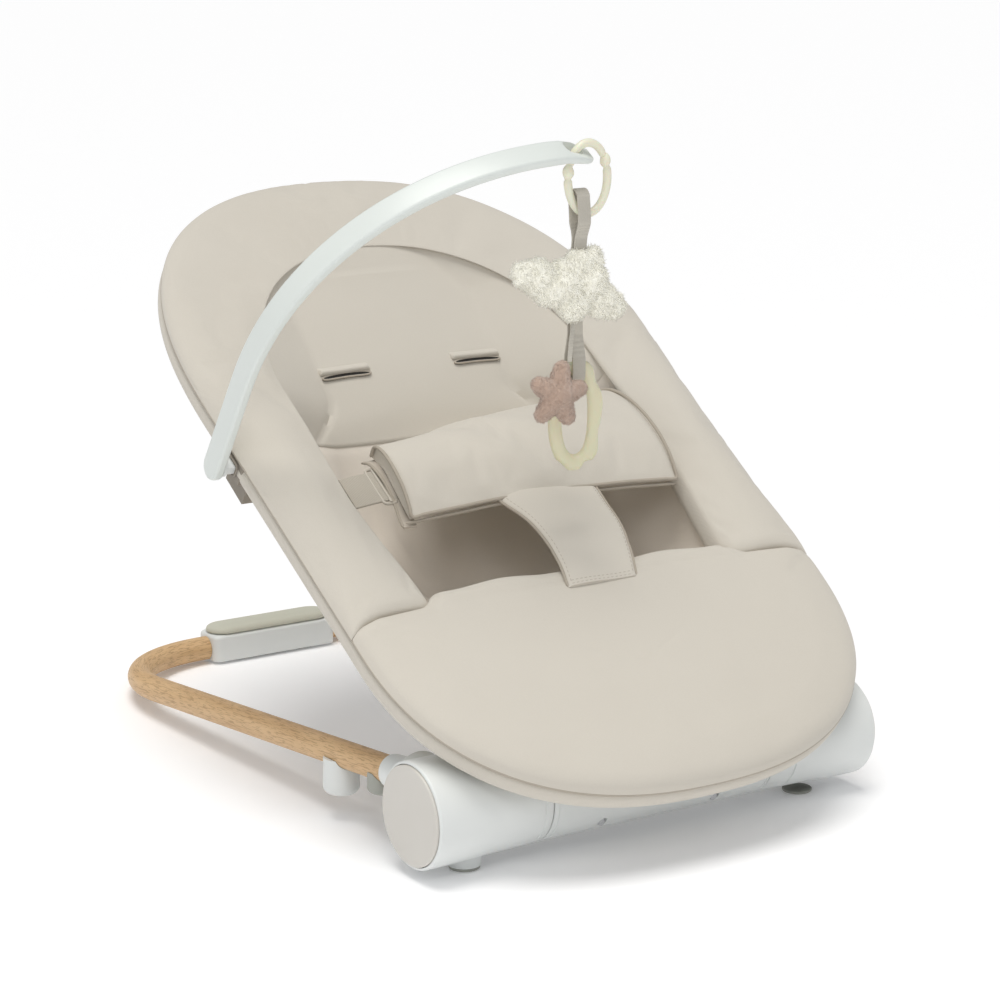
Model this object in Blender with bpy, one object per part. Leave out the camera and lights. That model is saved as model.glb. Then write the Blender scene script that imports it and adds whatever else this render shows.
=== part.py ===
# Bouncer seat: a padded oval seat on a round front cross tube, tube legs, a rear crossbar,
# and a one-sided toy bar with hanging toys. Metres, +Z up. X runs across the seat, the head
# end is at +Y, and the origin is on the floor under the middle of the rear crossbar.
import math

import bmesh
import bpy
from mathutils import Matrix, Vector

# ---- driving dimensions ----
base_width = 0.430  # over the two end caps
base_length = 0.6035  # front tube axis to rear crossbar
axle_height = 0.0506  # front tube axis above the floor
seat_length = 0.7226
head_half_width = 0.2297
foot_half_width = 0.2239
seat_tilt = math.radians(33.3)
rim_ahead = 0.203  # middle of the seat rim, ahead of the front tube axis
rim_rise = 0.2084  # and above it
gap = 0.0003  # between pieces that touch

# ---- front tube ----
hub_radius = 0.0422
hub_wall = 0.0032
hub_inner_x = 0.1073  # where a hub meets the barrel
hub_rim_length = 0.0035  # hub rim is this much short of the cap's face
web_thickness = 0.003
hub_flare = 0.0025  # a hub grows this much from the barrel to its rim
barrel_radius = hub_radius - hub_flare
barrel_wall = 0.0030
barrel_gap = 0.0008
cap_margin = 0.0026
cap_radius = hub_radius - cap_margin
cap_thickness = 0.0060
cap_travel = 0.0040
cap_dome = 0.0012
prong_radius = 0.0022
prong_circle = 0.0200
prong_turn = math.radians(97)
prong_clearance = 0.0005
axle_radius = 0.0085
axle_wall = 0.0015
core_wall = 0.0027
spindle_wall = 0.0027
run_clearance = 0.0003
end_plate_thickness = 0.0050
gear_x = 0.1340  # inner face of a lock gear
gear_thickness = 0.0080
gear_tooth = 0.0030
ring_wall = 0.0051
gear_teeth = 12
ring_clearance = 0.0006
gear_radius = barrel_radius - hub_wall - gap - ring_wall - gear_tooth - ring_clearance
ring_thickness = 0.0160
lock_wire = 0.0009
bounce_wire = 0.0017
screw_x = 0.0551
screw_inset = 0.0101  # screw axis to the inside of the barrel wall
screw_drop = barrel_radius - barrel_wall - screw_inset
screw_radius = 0.0020
screw_head_radius = 0.0036
boss_radius = 0.0058

# ---- feet, legs and rear crossbar ----
foot_x = 0.1640
foot_radius = 0.0125
leg_radius = 0.0112
leg_x = 0.1850
leg_rise = 0.0178  # leg axis above the front tube axis, where they cross
leg_start = 0.0180
rear_height = 0.0138  # leg axis above the floor at the crossbar
bend_length = 0.1320
tenon_radius = 0.0075
tenon_length = 0.0240
collar_wall = 0.0028
collar_end = 0.0700
stop_y = 0.1490
stop_radius = 0.0150
stop_bottom = 0.0215
bumper_y = 0.0860
bumper_radius = 0.0120
bumper_bottom = 0.0395
bar_half_length = 0.0660
bar_half_depth = 0.0180
bar_top = 0.0278
rest_thickness = 0.0020
rest_half_length = 0.0500
rest_half_width = 0.0110
grip_thickness = 0.0075
grip_inset = 0.0016

# ---- seat frame and arms ----
head_curve = 0.2522  # length of the rounded head end
foot_curve = 0.1930
outline_power = 2.3725
frame_radius = 0.0090
square_end = 0.0030  # last stretch of a bow, which runs straight into its connector
frame_inset = 0.0145
frame_drop = 0.0045
arm_radius = 0.0075
arm_root_x = 0.0850
arm_swing = math.radians(6.5)  # slot room for the bounce
socket_along = 0.0450
socket_half = 0.0155

# ---- padding, in the seat's own plane: across, along, normal ----
pad_bottom = 0.0055
pad_top = 0.0210
pad_edge = 0.0010
seam_gap = 0.0005
head_split = 0.2000
head_seam = 0.2640
foot_seam = -0.1310
inner_half = 0.1550
inner_head_half = 0.1170
cover_thickness = 0.0020
panel_thickness = 0.0100
pouch_wall = 0.0040
pouch_half = 0.1500

# ---- restraint ----
belly_left = -0.1150
belly_right = 0.1350
belly_low = -0.0600
belly_high = 0.0280
belly_bottom = 0.0120
belly_top = 0.0300
buckle_length = 0.0120
buckle_width = 0.0420
webbing_width = 0.0330
webbing_thickness = 0.0025
strap_low_half = 0.0345
strap_high_half = 0.0480
strap_thickness = 0.0045

# ---- toy bar and toys ----
band_x = 0.2440
band_width = 0.0225
band_thickness = 0.0085
band_straight = 0.0830  # height at which the band starts to curve
band_top = 0.2980
band_power = 2.2
tip_x = 0.0050
tip_droop = 0.0065
tip_thickness = 0.0055
pivot_radius = 0.0060
pivot_height = -0.0045
tongue_half = 0.0075
tongue_height = 0.0035
tongue_length = 0.0175
slot_length = 0.0165
slot_width = 0.0115
link_half_width = 0.0188
link_half_height = 0.0276
link_wire = 0.0034
link_x = 0.0020
link_drop = 0.0220  # ring centre under the tip of the band
tab_width = 0.0120
tab_cloth = 0.0015
cloud_drop = 0.1060
cloud_half_height = 0.0320
cloud_half_width = 0.0540
cloud_half_depth = 0.0190
star_drop = 0.1870
star_radius = 0.0270
teether_drop = 0.2100
teether_depth = 0.0085


def clear_scene():
    for thing in list(bpy.data.objects):
        bpy.data.objects.remove(thing, do_unlink=True)


def material(name, colour, roughness, metallic=0.0):
    made = bpy.data.materials.new(name)
    made.use_nodes = True
    shader = made.node_tree.nodes["Principled BSDF"]
    shader.inputs["Base Color"].default_value = (*colour, 1.0)
    shader.inputs["Roughness"].default_value = roughness
    shader.inputs["Metallic"].default_value = metallic
    return made


def empty(name, location, turn=0.0):
    made = bpy.data.objects.new(name, None)
    made.location = location
    made.rotation_euler = (turn, 0.0, 0.0)
    bpy.context.scene.collection.objects.link(made)
    return made


def add(name, mesh, finish, parent=None):
    made = bpy.data.objects.new(name, mesh)
    made.data.materials.append(finish)
    made.parent = parent
    bpy.context.scene.collection.objects.link(made)
    return made


def mesh_of(name, bm):
    bmesh.ops.recalc_face_normals(bm, faces=bm.faces)
    mesh = bpy.data.meshes.new(name)
    bm.to_mesh(mesh)
    bm.free()
    mesh.shade_smooth()
    mesh.set_sharp_from_angle(angle=math.radians(35))
    return mesh


def skin(bm, rings, around=True):
    """Quads between each ring of vertices and the next."""
    for first, second in zip(rings, rings[1:]):
        count = len(first)
        for i in range(count if around else count - 1):
            j = (i + 1) % count
            bm.faces.new((first[i], first[j], second[j], second[i]))


def loft(name, sections, finish, parent=None, closed=False):
    """A solid through closed sections that all have the same number of points."""
    bm = bmesh.new()
    rings = [[bm.verts.new(point) for point in section] for section in sections]
    if closed:
        skin(bm, rings + rings[:1])
    else:
        skin(bm, rings)
        bm.faces.new(rings[0])
        bm.faces.new(rings[-1])
    return add(name, mesh_of(name, bm), finish, parent)


def turned(name, profile, finish, parent=None, steps=32, axis="X", hollow=True, side=1, centre=(0, 0, 0)):
    """A profile of (along, radius) turned round an axis. A solid one starts and ends on the axis."""
    bm = bmesh.new()
    middle = Vector(centre)

    def point(along, radius, angle):
        across = radius * math.cos(angle)
        up = radius * math.sin(angle)
        if axis == "X":
            return middle + Vector((side * along, across, up))
        if axis == "Y":
            return middle + Vector((across, along, up))
        return middle + Vector((across, up, along))

    rings = []
    inner = profile if hollow else profile[1:-1]
    for step in range(steps):
        angle = 2 * math.pi * step / steps
        rings.append([bm.verts.new(point(along, radius, angle)) for along, radius in inner])
    skin(bm, rings + rings[:1], around=hollow)
    if not hollow:
        for end, index in ((profile[0], 0), (profile[-1], -1)):
            tip = bm.verts.new(point(end[0], 0.0, 0.0))
            for step in range(steps):
                bm.faces.new((tip, rings[step][index], rings[(step + 1) % steps][index]))
    return add(name, mesh_of(name, bm), finish, parent)


def prism(name, outline, low, high, finish, parent=None, bevel=0.0, segments=2):
    """An outline of (x, y) points extruded along Z, with its upper edge rounded."""
    bm = bmesh.new()
    bottom = [bm.verts.new((x, y, low)) for x, y in outline]
    top = [bm.verts.new((x, y, high)) for x, y in outline]
    skin(bm, [bottom, top])
    bm.faces.new(bottom)
    lid = bm.faces.new(top)
    if bevel:
        bmesh.ops.recalc_face_normals(bm, faces=bm.faces)
        bmesh.ops.bevel(
            bm, geom=list(lid.edges), offset=bevel, segments=segments, affect="EDGES", profile=0.5
        )
    return add(name, mesh_of(name, bm), finish, parent)


def block(name, low, high, finish, parent=None, bevel=0.0):
    outline = ((low[0], low[1]), (high[0], low[1]), (high[0], high[1]), (low[0], high[1]))
    made = prism(name, outline, low[2], high[2], finish, parent)
    if bevel:
        rounded = made.modifiers.new("Bevel", "BEVEL")
        rounded.width = bevel
        rounded.segments = 2
    return made


def tube(name, points, radius, finish, parent=None, sides=2, thin_end=None):
    """A round tube along a list of points. Its last two points take the thin end's radius."""
    curve = bpy.data.curves.new(name, "CURVE")
    curve.dimensions = "3D"
    curve.bevel_depth = radius
    curve.bevel_resolution = sides
    curve.use_fill_caps = True
    spline = curve.splines.new("POLY")
    spline.points.add(len(points) - 1)
    for target, point in zip(spline.points, points):
        target.co = (*point, 1.0)
    if thin_end:
        for target in spline.points[-2:]:
            target.radius = thin_end / radius
    curve.materials.append(finish)
    made = bpy.data.objects.new(name, curve)
    made.parent = parent
    bpy.context.scene.collection.objects.link(made)
    return made


def boolean(target, other, operation="DIFFERENCE"):
    """Joins or cuts with a helper that stays out of the model."""
    step = target.modifiers.new(operation.title(), "BOOLEAN")
    step.operation = operation
    step.solver = "EXACT"
    step.object = other
    other.hide_render = True
    other.display_type = "WIRE"


def coil(name, start, end, radius, wire, turns, finish, parent, steps=10):
    """A helical spring along X."""
    count = turns * steps
    points = []
    for step in range(count + 1):
        angle = 2 * math.pi * step / steps
        along = start + (end - start) * step / count
        points.append((along, radius * math.cos(angle), radius * math.sin(angle)))
    return tube(name, points, wire, finish, parent, sides=1)


def half_width(along, inset=0.0):
    """Half the width of the seat outline at a distance along the seat from its middle."""
    reach = seat_length / 2 - inset
    head_start = seat_length / 2 - head_curve
    foot_start = -(seat_length / 2 - foot_curve)
    share = (min(max(along, foot_start), head_start) - foot_start) / (head_start - foot_start)
    width = foot_half_width + (head_half_width - foot_half_width) * share - inset
    if along > head_start:
        end = (along - head_start) / (reach - head_start)
    elif along < foot_start:
        end = (foot_start - along) / (reach + foot_start)
    else:
        return width
    return width * max(0.0, 1 - min(end, 1.0) ** outline_power) ** (1 / outline_power)


def rim_side(start, end, steps, inset=0.0):
    """Points (x, along) on the +X side of the outline, closer together towards the ends."""
    reach = seat_length / 2 - inset

    def angle(along):
        return math.asin(max(-1.0, min(1.0, along / reach)))

    first, last = angle(start), angle(end)
    return [
        (half_width(reach * math.sin(turn), inset), reach * math.sin(turn))
        for turn in (first + (last - first) * step / steps for step in range(steps + 1))
    ]


def inner_half_at(along):
    """The inner seam of the side bolsters, which closes in towards the head."""
    start = 0.08
    share = max(0.0, (along - start) / (head_split - start))
    return inner_half - (inner_half - inner_head_half) * share**1.7


def both(points):
    """The mirror image of (x, y) points, in reverse order, so that both sides make one loop."""
    return [(-x, y) for x, y in reversed(points)]


clear_scene()

white = material("white_plastic", (0.80, 0.83, 0.80), 0.38)
beige = material("beige_cap", (0.66, 0.63, 0.57), 0.45)
oak = material("oak_finish", (0.56, 0.35, 0.16), 0.50)
steel = material("steel", (0.60, 0.60, 0.60), 0.35, 1.0)
black = material("black_plastic", (0.05, 0.05, 0.05), 0.55)
rubber = material("grey_rubber", (0.50, 0.51, 0.48), 0.80)
sage = material("sage_grip", (0.45, 0.46, 0.40), 0.70)
cloth = material("greige_cloth", (0.63, 0.59, 0.53), 0.90)
tape = material("webbing", (0.46, 0.42, 0.36), 0.90)
plush = material("cream_plush", (0.85, 0.83, 0.74), 1.00)
dusty = material("dusty_plush", (0.56, 0.42, 0.37), 1.00)
cream = material("cream_plastic", (0.80, 0.77, 0.64), 0.40)

axle = empty("axle_axis", (0.0, -base_length, axle_height))
seat = empty("seat_plane", (0.0, rim_ahead - base_length, axle_height + rim_rise), seat_tilt)

cap_face = base_width / 2
rim_x = cap_face - hub_rim_length
cap_inner = cap_face - cap_thickness
pocket_floor = cap_inner - cap_travel - gap
web_inner = pocket_floor - web_thickness
hub_bore = axle_radius + run_clearance
core_inner = axle_radius + 2 * run_clearance
core_outer = core_inner + core_wall
spindle_inner = core_outer + run_clearance
spindle_outer = spindle_inner + spindle_wall
leg_slope = (axle_height + leg_rise - rear_height) / base_length
leg_angle = math.atan(leg_slope)
axle_along = -(rim_ahead * math.cos(seat_tilt) + rim_rise * math.sin(seat_tilt))
axle_normal = rim_ahead * math.sin(seat_tilt) - rim_rise * math.cos(seat_tilt)


def leg_height(distance):
    """Height of a leg's axis above the floor, by its distance behind the front tube's axis."""
    return axle_height + leg_rise - leg_slope * distance


def along_leg(side, start, end, radius, name, extra=0.0):
    """A straight cylinder on the axis of a leg, used to shape what meets the leg."""
    run = Vector((0.0, math.cos(leg_angle), -math.sin(leg_angle)))
    upward = Vector((0.0, math.sin(leg_angle), math.cos(leg_angle)))
    origin = Vector((side * leg_x, 0.0, leg_rise))
    sections = []
    for distance in (start, end):
        section = []
        for step in range(24):
            angle = 2 * math.pi * step / 24
            out = upward * math.sin(angle) + Vector((math.cos(angle), 0.0, 0.0))
            section.append(origin + run * distance + out * (radius + extra))
        sections.append(section)
    return loft(name, sections, white, axle)


def make_hub(side, tag):
    body = turned(
        "hub_" + tag,
        (
            (hub_inner_x, barrel_radius),
            (hub_inner_x + 0.030, barrel_radius + 0.0006),
            (rim_x - 0.030, hub_radius - 0.0002),
            (rim_x - 0.006, hub_radius),
            (rim_x - 0.0015, hub_radius - 0.0006),
            (rim_x, cap_radius + 0.0012),
            (rim_x, cap_radius + gap),
            (pocket_floor, cap_radius + gap),
            (pocket_floor, hub_bore),
            (web_inner - 0.012, hub_bore),
            (web_inner - 0.012, hub_bore + 0.0035),
            (web_inner, hub_bore + 0.0035),
            (web_inner, barrel_radius - hub_wall),
            (hub_inner_x, barrel_radius - hub_wall),
        ),
        white,
        axle,
        steps=36,
        side=side,
    )
    boolean(body, along_leg(side, leg_start - 0.003, collar_end, leg_radius + collar_wall, "collar_" + tag), "UNION")
    boolean(body, along_leg(side, leg_start - gap, collar_end + 0.02, leg_radius, "collar_bore_" + tag, gap))
    for number in range(3):
        angle = prong_turn + math.radians(120 * number)
        boolean(
            body,
            turned(
                f"prong_hole_{tag}_{number}",
                ((web_inner - 0.002, 0.0),)
                + ((web_inner - 0.002, prong_radius + prong_clearance),)
                + ((pocket_floor + 0.002, prong_radius + prong_clearance), (pocket_floor + 0.002, 0.0)),
                white,
                axle,
                steps=12,
                hollow=False,
                side=side,
                centre=(0, prong_circle * math.cos(angle), prong_circle * math.sin(angle)),
            ),
        )
    return body


def make_cap(side, tag):
    """A push-in end cap: a domed disc with three prongs that reach the lock gear."""
    body = turned(
        "end_cap_" + tag,
        (
            (cap_inner, 0.0),
            (cap_inner, cap_radius),
            (cap_face - cap_dome - 0.0008, cap_radius),
            (cap_face - cap_dome, cap_radius - 0.0010),
            (cap_face - 0.45 * cap_dome, cap_radius * 0.72),
            (cap_face, 0.0),
        ),
        beige,
        axle,
        steps=36,
        hollow=False,
        side=side,
    )
    tip = gear_x + gear_thickness + gap
    for number in range(3):
        angle = prong_turn + math.radians(120 * number)
        boolean(
            body,
            turned(
                f"prong_{tag}_{number}",
                ((tip, 0.0), (tip, prong_radius), (cap_inner + 0.002, prong_radius), (cap_inner + 0.002, 0.0)),
                beige,
                axle,
                steps=10,
                hollow=False,
                side=side,
                centre=(0, prong_circle * math.cos(angle), prong_circle * math.sin(angle)),
            ),
            "UNION",
        )
    return body


def toothed(name, teeth, root, tip, other, low, high, finish, side):
    """A ring along X between a toothed edge and a round one."""
    bm = bmesh.new()
    rings = []
    for tooth in range(teeth):
        for share, radius in ((-0.30, root), (-0.18, tip), (0.18, tip), (0.30, root)):
            angle = 2 * math.pi * (tooth + share) / teeth
            points = []
            for x, distance in ((low, radius), (high, radius), (high, other), (low, other)):
                points.append(
                    bm.verts.new((side * x, distance * math.cos(angle), distance * math.sin(angle)))
                )
            rings.append(points)
    skin(bm, rings + rings[:1])
    return add(name, mesh_of(name, bm), finish, axle)


def make_lock(side, tag):
    ring_tip = gear_radius + ring_clearance
    toothed(
        "lock_ring_" + tag,
        gear_teeth,
        ring_tip + gear_tooth,
        ring_tip,
        barrel_radius - hub_wall - gap,
        gear_x - 0.004,
        gear_x - 0.004 + ring_thickness,
        black,
        side,
    )
    toothed(
        "lock_gear_" + tag,
        gear_teeth,
        gear_radius - gear_tooth,
        gear_radius,
        core_outer + run_clearance,
        gear_x,
        gear_x + gear_thickness,
        steel,
        side,
    )
    start = hub_inner_x - barrel_gap + 0.0015
    end = gear_x - 0.0012
    coil("lock_spring_" + tag, side * start, side * end, core_outer + 0.0032, lock_wire, 5, steel, axle)


def make_foot(side, tag):
    top = hub_radius * 0.5
    body = turned(
        "front_foot_" + tag,
        (
            (-axle_height, 0.0),
            (-axle_height, foot_radius - 0.0015),
            (-axle_height + 0.0015, foot_radius),
            (-top, foot_radius),
            (-top, 0.0),
        ),
        rubber,
        axle,
        steps=20,
        axis="Z",
        hollow=False,
        centre=(side * foot_x, 0, 0),
    )
    boolean(
        body,
        turned(
            "foot_cutter_" + tag,
            ((foot_x - 0.03, 0.0), (foot_x - 0.03, hub_radius + gap), (foot_x + 0.03, hub_radius + gap), (foot_x + 0.03, 0.0)),
            rubber,
            axle,
            steps=48,
            hollow=False,
            side=side,
        ),
    )


def make_leg(side, tag):
    """A leg slopes down from its hub and bends in to the crossbar, where it ends in a tenon."""
    run = Vector((0.0, math.cos(leg_angle), -math.sin(leg_angle)))
    origin = Vector((side * leg_x, 0.0, leg_rise))
    full = base_length / math.cos(leg_angle)
    bend_start = full - bend_length
    joint = bar_half_length + gap
    points = []
    for share in (0.0, 0.1, 0.3, 0.55, 0.8, 1.0):
        points.append(origin + run * (leg_start + (bend_start - leg_start) * share))
    steps = 10
    for step in range(1, steps + 1):
        angle = math.pi / 2 * step / steps
        inward = Vector((-side * (leg_x - joint - 0.004) * (1 - math.cos(angle)), 0.0, 0.0))
        points.append(origin + run * (bend_start + bend_length * math.sin(angle)) + inward)
    last = points[-1]
    points.append(Vector((side * joint, last.y, last.z)))
    points.append(Vector((side * (joint - 0.0002), last.y, last.z)))
    points.append(Vector((side * (joint - tenon_length), last.y, last.z)))
    tube("leg_" + tag, points, leg_radius, oak, axle, sides=4, thin_end=tenon_radius)


def make_leg_stop(side, tag, name, distance, radius, bottom, finish):
    """A rounded stop whose top is cut to sit under the leg."""
    low = bottom - axle_height
    high = leg_height(distance) - axle_height
    body = turned(
        name + "_" + tag,
        (
            (low, 0.0),
            (low, radius * 0.55),
            (low + radius * 0.10, radius * 0.82),
            (low + radius * 0.33, radius),
            (high - leg_radius * 0.35, radius),
            (high - leg_radius * 0.35, 0.0),
        ),
        finish,
        axle,
        steps=24,
        axis="Z",
        hollow=False,
        centre=(side * leg_x, distance, 0),
    )
    boolean(body, along_leg(side, distance - 0.04, distance + 0.04, leg_radius, name + "_cutter_" + tag, gap))


def stadium(half_length, half_depth, steps=8):
    """An outline with straight sides and round ends, along X."""
    points = []
    for centre, start in ((half_length - half_depth, -90), (-(half_length - half_depth), 90)):
        for step in range(steps + 1):
            angle = math.radians(start + 180 * step / steps)
            points.append((centre + half_depth * math.cos(angle), half_depth * math.sin(angle)))
    return points


def make_crossbar():
    body = prism(
        "rear_crossbar",
        [(x, y + base_length) for x, y in crossbar_outline()],
        rest_thickness + gap - axle_height,
        bar_top - axle_height,
        white,
        axle,
        bevel=0.003,
    )
    for side, tag in ((-1, "left"), (1, "right")):
        tip = bar_half_length - tenon_length - 2 * gap
        radius = tenon_radius + gap
        profile = ((tip, 0.0), (tip, radius), (bar_half_length + 0.01, radius), (bar_half_length + 0.01, 0.0))
        centre = (0, base_length, rear_height - axle_height)
        bore = turned("tenon_bore_" + tag, profile, white, axle, steps=20, hollow=False, side=side, centre=centre)
        boolean(body, bore)
    inset = [(x, y + base_length) for x, y in stadium(bar_half_length - grip_inset, bar_half_depth - grip_inset)]
    low = bar_top + gap - axle_height
    prism("grip_pad", inset, low, low + grip_thickness, sage, axle, bevel=grip_thickness * 0.6, segments=3)
    rest = [(x, y + base_length) for x, y in stadium(rest_half_length, rest_half_width)]
    prism("rear_rest_pad", rest, -axle_height, rest_thickness - axle_height, rubber, axle)


def crossbar_outline():
    """Flat where the two leg ends meet it, and rounded at its four corners."""
    corner = 0.0065
    points = []
    for x, y, start in (
        (bar_half_length - corner, -bar_half_depth + corner, -90),
        (bar_half_length - corner, bar_half_depth - corner, 0),
        (-bar_half_length + corner, bar_half_depth - corner, 90),
        (-bar_half_length + corner, -bar_half_depth + corner, 180),
    ):
        for step in range(4):
            angle = math.radians(start + 30 * step)
            points.append((x + corner * math.cos(angle), y + corner * math.sin(angle)))
    return points


def half_shell(name, sign):
    """Half of the barrel, from the top seam round the front (-1) or the rear (+1) to the bottom seam."""
    length = hub_inner_x - barrel_gap
    inner = barrel_radius - barrel_wall
    edge = math.asin(gap / barrel_radius)
    steps = 16
    sections = []
    for step in range(steps + 1):
        angle = -math.pi / 2 + edge + (math.pi - 2 * edge) * step / steps
        y, z = sign * math.cos(angle), math.sin(angle)
        sections.append(
            [
                (-length, barrel_radius * y, barrel_radius * z),
                (length, barrel_radius * y, barrel_radius * z),
                (length, inner * y, inner * z),
                (-length, inner * y, inner * z),
            ]
        )
    return loft(name, sections, white, axle)


def rod_y(name, x, z, start, end, radius, finish, steps=12):
    return turned(
        name,
        ((start, 0.0), (start, radius), (end, radius), (end, 0.0)),
        finish,
        axle,
        steps=steps,
        axis="Y",
        hollow=False,
        centre=(x, 0, z),
    )


def screw_boss(name, x, z, sign):
    """A post from the parting plane into the middle of the shell's curved wall."""
    reach = barrel_radius - barrel_wall / 2
    flat, curved = [], []
    for step in range(16):
        angle = 2 * math.pi * step / 16
        across = x + boss_radius * math.cos(angle)
        up = z + boss_radius * math.sin(angle)
        flat.append((across, sign * gap, up))
        curved.append((across, sign * math.sqrt(reach**2 - up**2), up))
    return loft(name, [flat, curved], white, axle)


def make_barrel():
    front = half_shell("barrel_front_shell", -1)
    rear = half_shell("barrel_rear_shell", 1)
    wall_y = math.sqrt(barrel_radius**2 - screw_drop**2)
    head_floor = -wall_y + 0.0040
    for side, tag in ((-1, "left"), (1, "right")):
        x = side * screw_x
        z = -screw_drop
        boolean(front, screw_boss("front_boss_" + tag, x, z, -1), "UNION")
        boolean(rear, screw_boss("rear_boss_" + tag, x, z, 1), "UNION")
        boolean(
            front,
            rod_y("head_bore_" + tag, x, z, -wall_y - 0.01, head_floor, screw_head_radius + gap, white),
        )
        boolean(front, rod_y("front_bore_" + tag, x, z, -wall_y, 0.004, screw_radius + gap, white))
        boolean(rear, rod_y("rear_bore_" + tag, x, z, -0.004, 0.0125, screw_radius + gap, white))
        turned(
            "barrel_screw_" + tag,
            (
                (head_floor - gap - 0.0022, 0.0),
                (head_floor - gap - 0.0022, screw_head_radius),
                (head_floor - gap, screw_head_radius),
                (head_floor - gap, screw_radius),
                (0.0120, screw_radius),
                (0.0120, 0.0),
            ),
            steel,
            axle,
            steps=12,
            axis="Y",
            hollow=False,
            centre=(x, 0, z),
        )
        boolean(rear, arm_slot(side, tag))
        end = hub_inner_x - barrel_gap - gap
        turned(
            "barrel_end_plate_" + tag,
            (
                (end - end_plate_thickness, core_outer + gap),
                (end, core_outer + gap),
                (end, barrel_radius - barrel_wall - gap),
                (end - end_plate_thickness, barrel_radius - barrel_wall - gap),
            ),
            black,
            axle,
            side=side,
        )
    reach = gear_x + gear_thickness - 0.001
    hollow_rod("barrel_core", reach, core_inner, core_outer, steel)
    hollow_rod("axle_tube", web_inner + 0.001, axle_radius - axle_wall, axle_radius, steel)
    plate_inner = hub_inner_x - barrel_gap - gap - end_plate_thickness
    hollow_rod("seat_spindle", plate_inner - gap, spindle_inner, spindle_outer, black)
    coil(
        "bounce_spring", -0.030, 0.030, spindle_outer + bounce_wire + 0.0010, bounce_wire, 6, steel, axle
    )


def hollow_rod(name, reach, inner, outer, finish):
    profile = ((-reach, inner), (reach, inner), (reach, outer), (-reach, outer))
    return turned(name, profile, finish, axle, steps=24)


def arm_slot(side, tag):
    """The opening in the rear shell that an arm comes out of, with room for the bounce."""
    half = arm_radius + 0.0010 + barrel_radius * math.tan(arm_swing)
    width = arm_radius + 0.0030
    direction = Vector((0.0, math.cos(seat_tilt), math.sin(seat_tilt)))
    upward = Vector((0.0, -math.sin(seat_tilt), math.cos(seat_tilt)))
    sections = []
    for distance in (spindle_outer + 0.006, barrel_radius + 0.010):
        corners = []
        for across, up in ((-width, -half), (width, -half), (width, half), (-width, half)):
            corners.append(
                Vector((side * arm_root_x + across, 0.0, 0.0)) + direction * distance + upward * up
            )
        sections.append(corners)
    return loft("arm_slot_" + tag, sections, white, axle)


def smooth_path(points, steps):
    """A Catmull-Rom curve through the points."""
    full = [points[0] * 2 - points[1]] + points + [points[-1] * 2 - points[-2]]
    path = []
    for index in range(1, len(full) - 2):
        before, first, second, after = full[index - 1 : index + 3]
        for step in range(steps):
            t = step / steps
            path.append(
                0.5
                * (
                    2 * first
                    + (second - before) * t
                    + (2 * before - 5 * first + 4 * second - after) * t**2
                    + (3 * first - before - 3 * second + after) * t**3
                )
            )
    path.append(points[-1])
    return path


def make_arm(side, tag):
    start = axle_along + spindle_outer + 2 * gap
    end_along = socket_along - socket_half - gap
    route = [
        Vector((arm_root_x, start, axle_normal)),
        Vector((arm_root_x, axle_along + barrel_radius + 0.012, axle_normal + 0.001)),
        Vector((arm_root_x + 0.022, axle_along + 0.090, axle_normal + 0.014)),
        Vector((pouch_half + 0.0190, foot_seam, -0.036)),
        Vector((0.1860, -0.050, -0.0275)),
        Vector((0.1930, 0.0, -0.0265)),
        Vector((0.1930, end_along, -0.0265)),
    ]
    path = [Vector((side * point.x, point.y, point.z)) for point in smooth_path(route, 4)]
    tube("seat_arm_" + tag, path, arm_radius, white, seat, sides=2)


def make_connector(side, tag, name):
    """Joins the two frame tubes and the arm. The left one holds the toy bar."""
    edge = half_width(socket_along)
    low = socket_along - socket_half
    high = socket_along + socket_half
    outer = edge - 0.0012
    inner = edge - frame_inset - frame_radius - 0.002
    upper = sorted((side * inner, side * outer))
    body = block(
        name,
        (upper[0], low, -frame_drop - frame_radius - 0.0008),
        (upper[1], high, pad_bottom - gap),
        black,
        seat,
    )
    lower = sorted((side * (0.1930 - arm_radius - 0.004), side * (outer - 0.010)))
    foot = block(
        name + "_foot",
        (lower[0], low, -0.0265 - arm_radius - 0.003),
        (lower[1], high, -frame_drop - frame_radius + 0.002),
        black,
        seat,
    )
    boolean(body, foot, "UNION")
    if side < 0:
        slot = block(
            name + "_slot",
            (-edge - 0.01, socket_along - tongue_half - gap, pivot_height - tongue_height - gap),
            (-edge + tongue_length + 0.001, socket_along + tongue_half + gap, pivot_height + tongue_height + gap),
            black,
            seat,
        )
        boolean(body, slot)


def make_frame():
    """Two bent tubes, the head bow and the foot bow, whose ends meet the two side connectors."""
    for name, start, end in (
        ("frame_head_bow", socket_along + socket_half + gap, seat_length / 2 - frame_inset),
        ("frame_foot_bow", -(seat_length / 2 - frame_inset), socket_along - socket_half - gap),
    ):
        side = rim_side(start, end, 14, frame_inset)
        if name == "frame_head_bow":
            turn = start + square_end
            across = half_width(turn, frame_inset)
            side = [(across, start), (across, turn)] + [p for p in side if p[1] > turn]
            loop = side[:-1] + [(0.0, end)] + both(side[:-1])
        else:
            turn = end - square_end
            across = half_width(turn, frame_inset)
            side = [p for p in side if p[1] < turn] + [(across, turn), (across, end)]
            loop = list(reversed(side))[:-1] + [(0.0, start)] + both(list(reversed(side))[:-1])
        tube(name, [(x, y, -frame_drop) for x, y in loop], frame_radius, steel, seat, sides=2)


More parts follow.
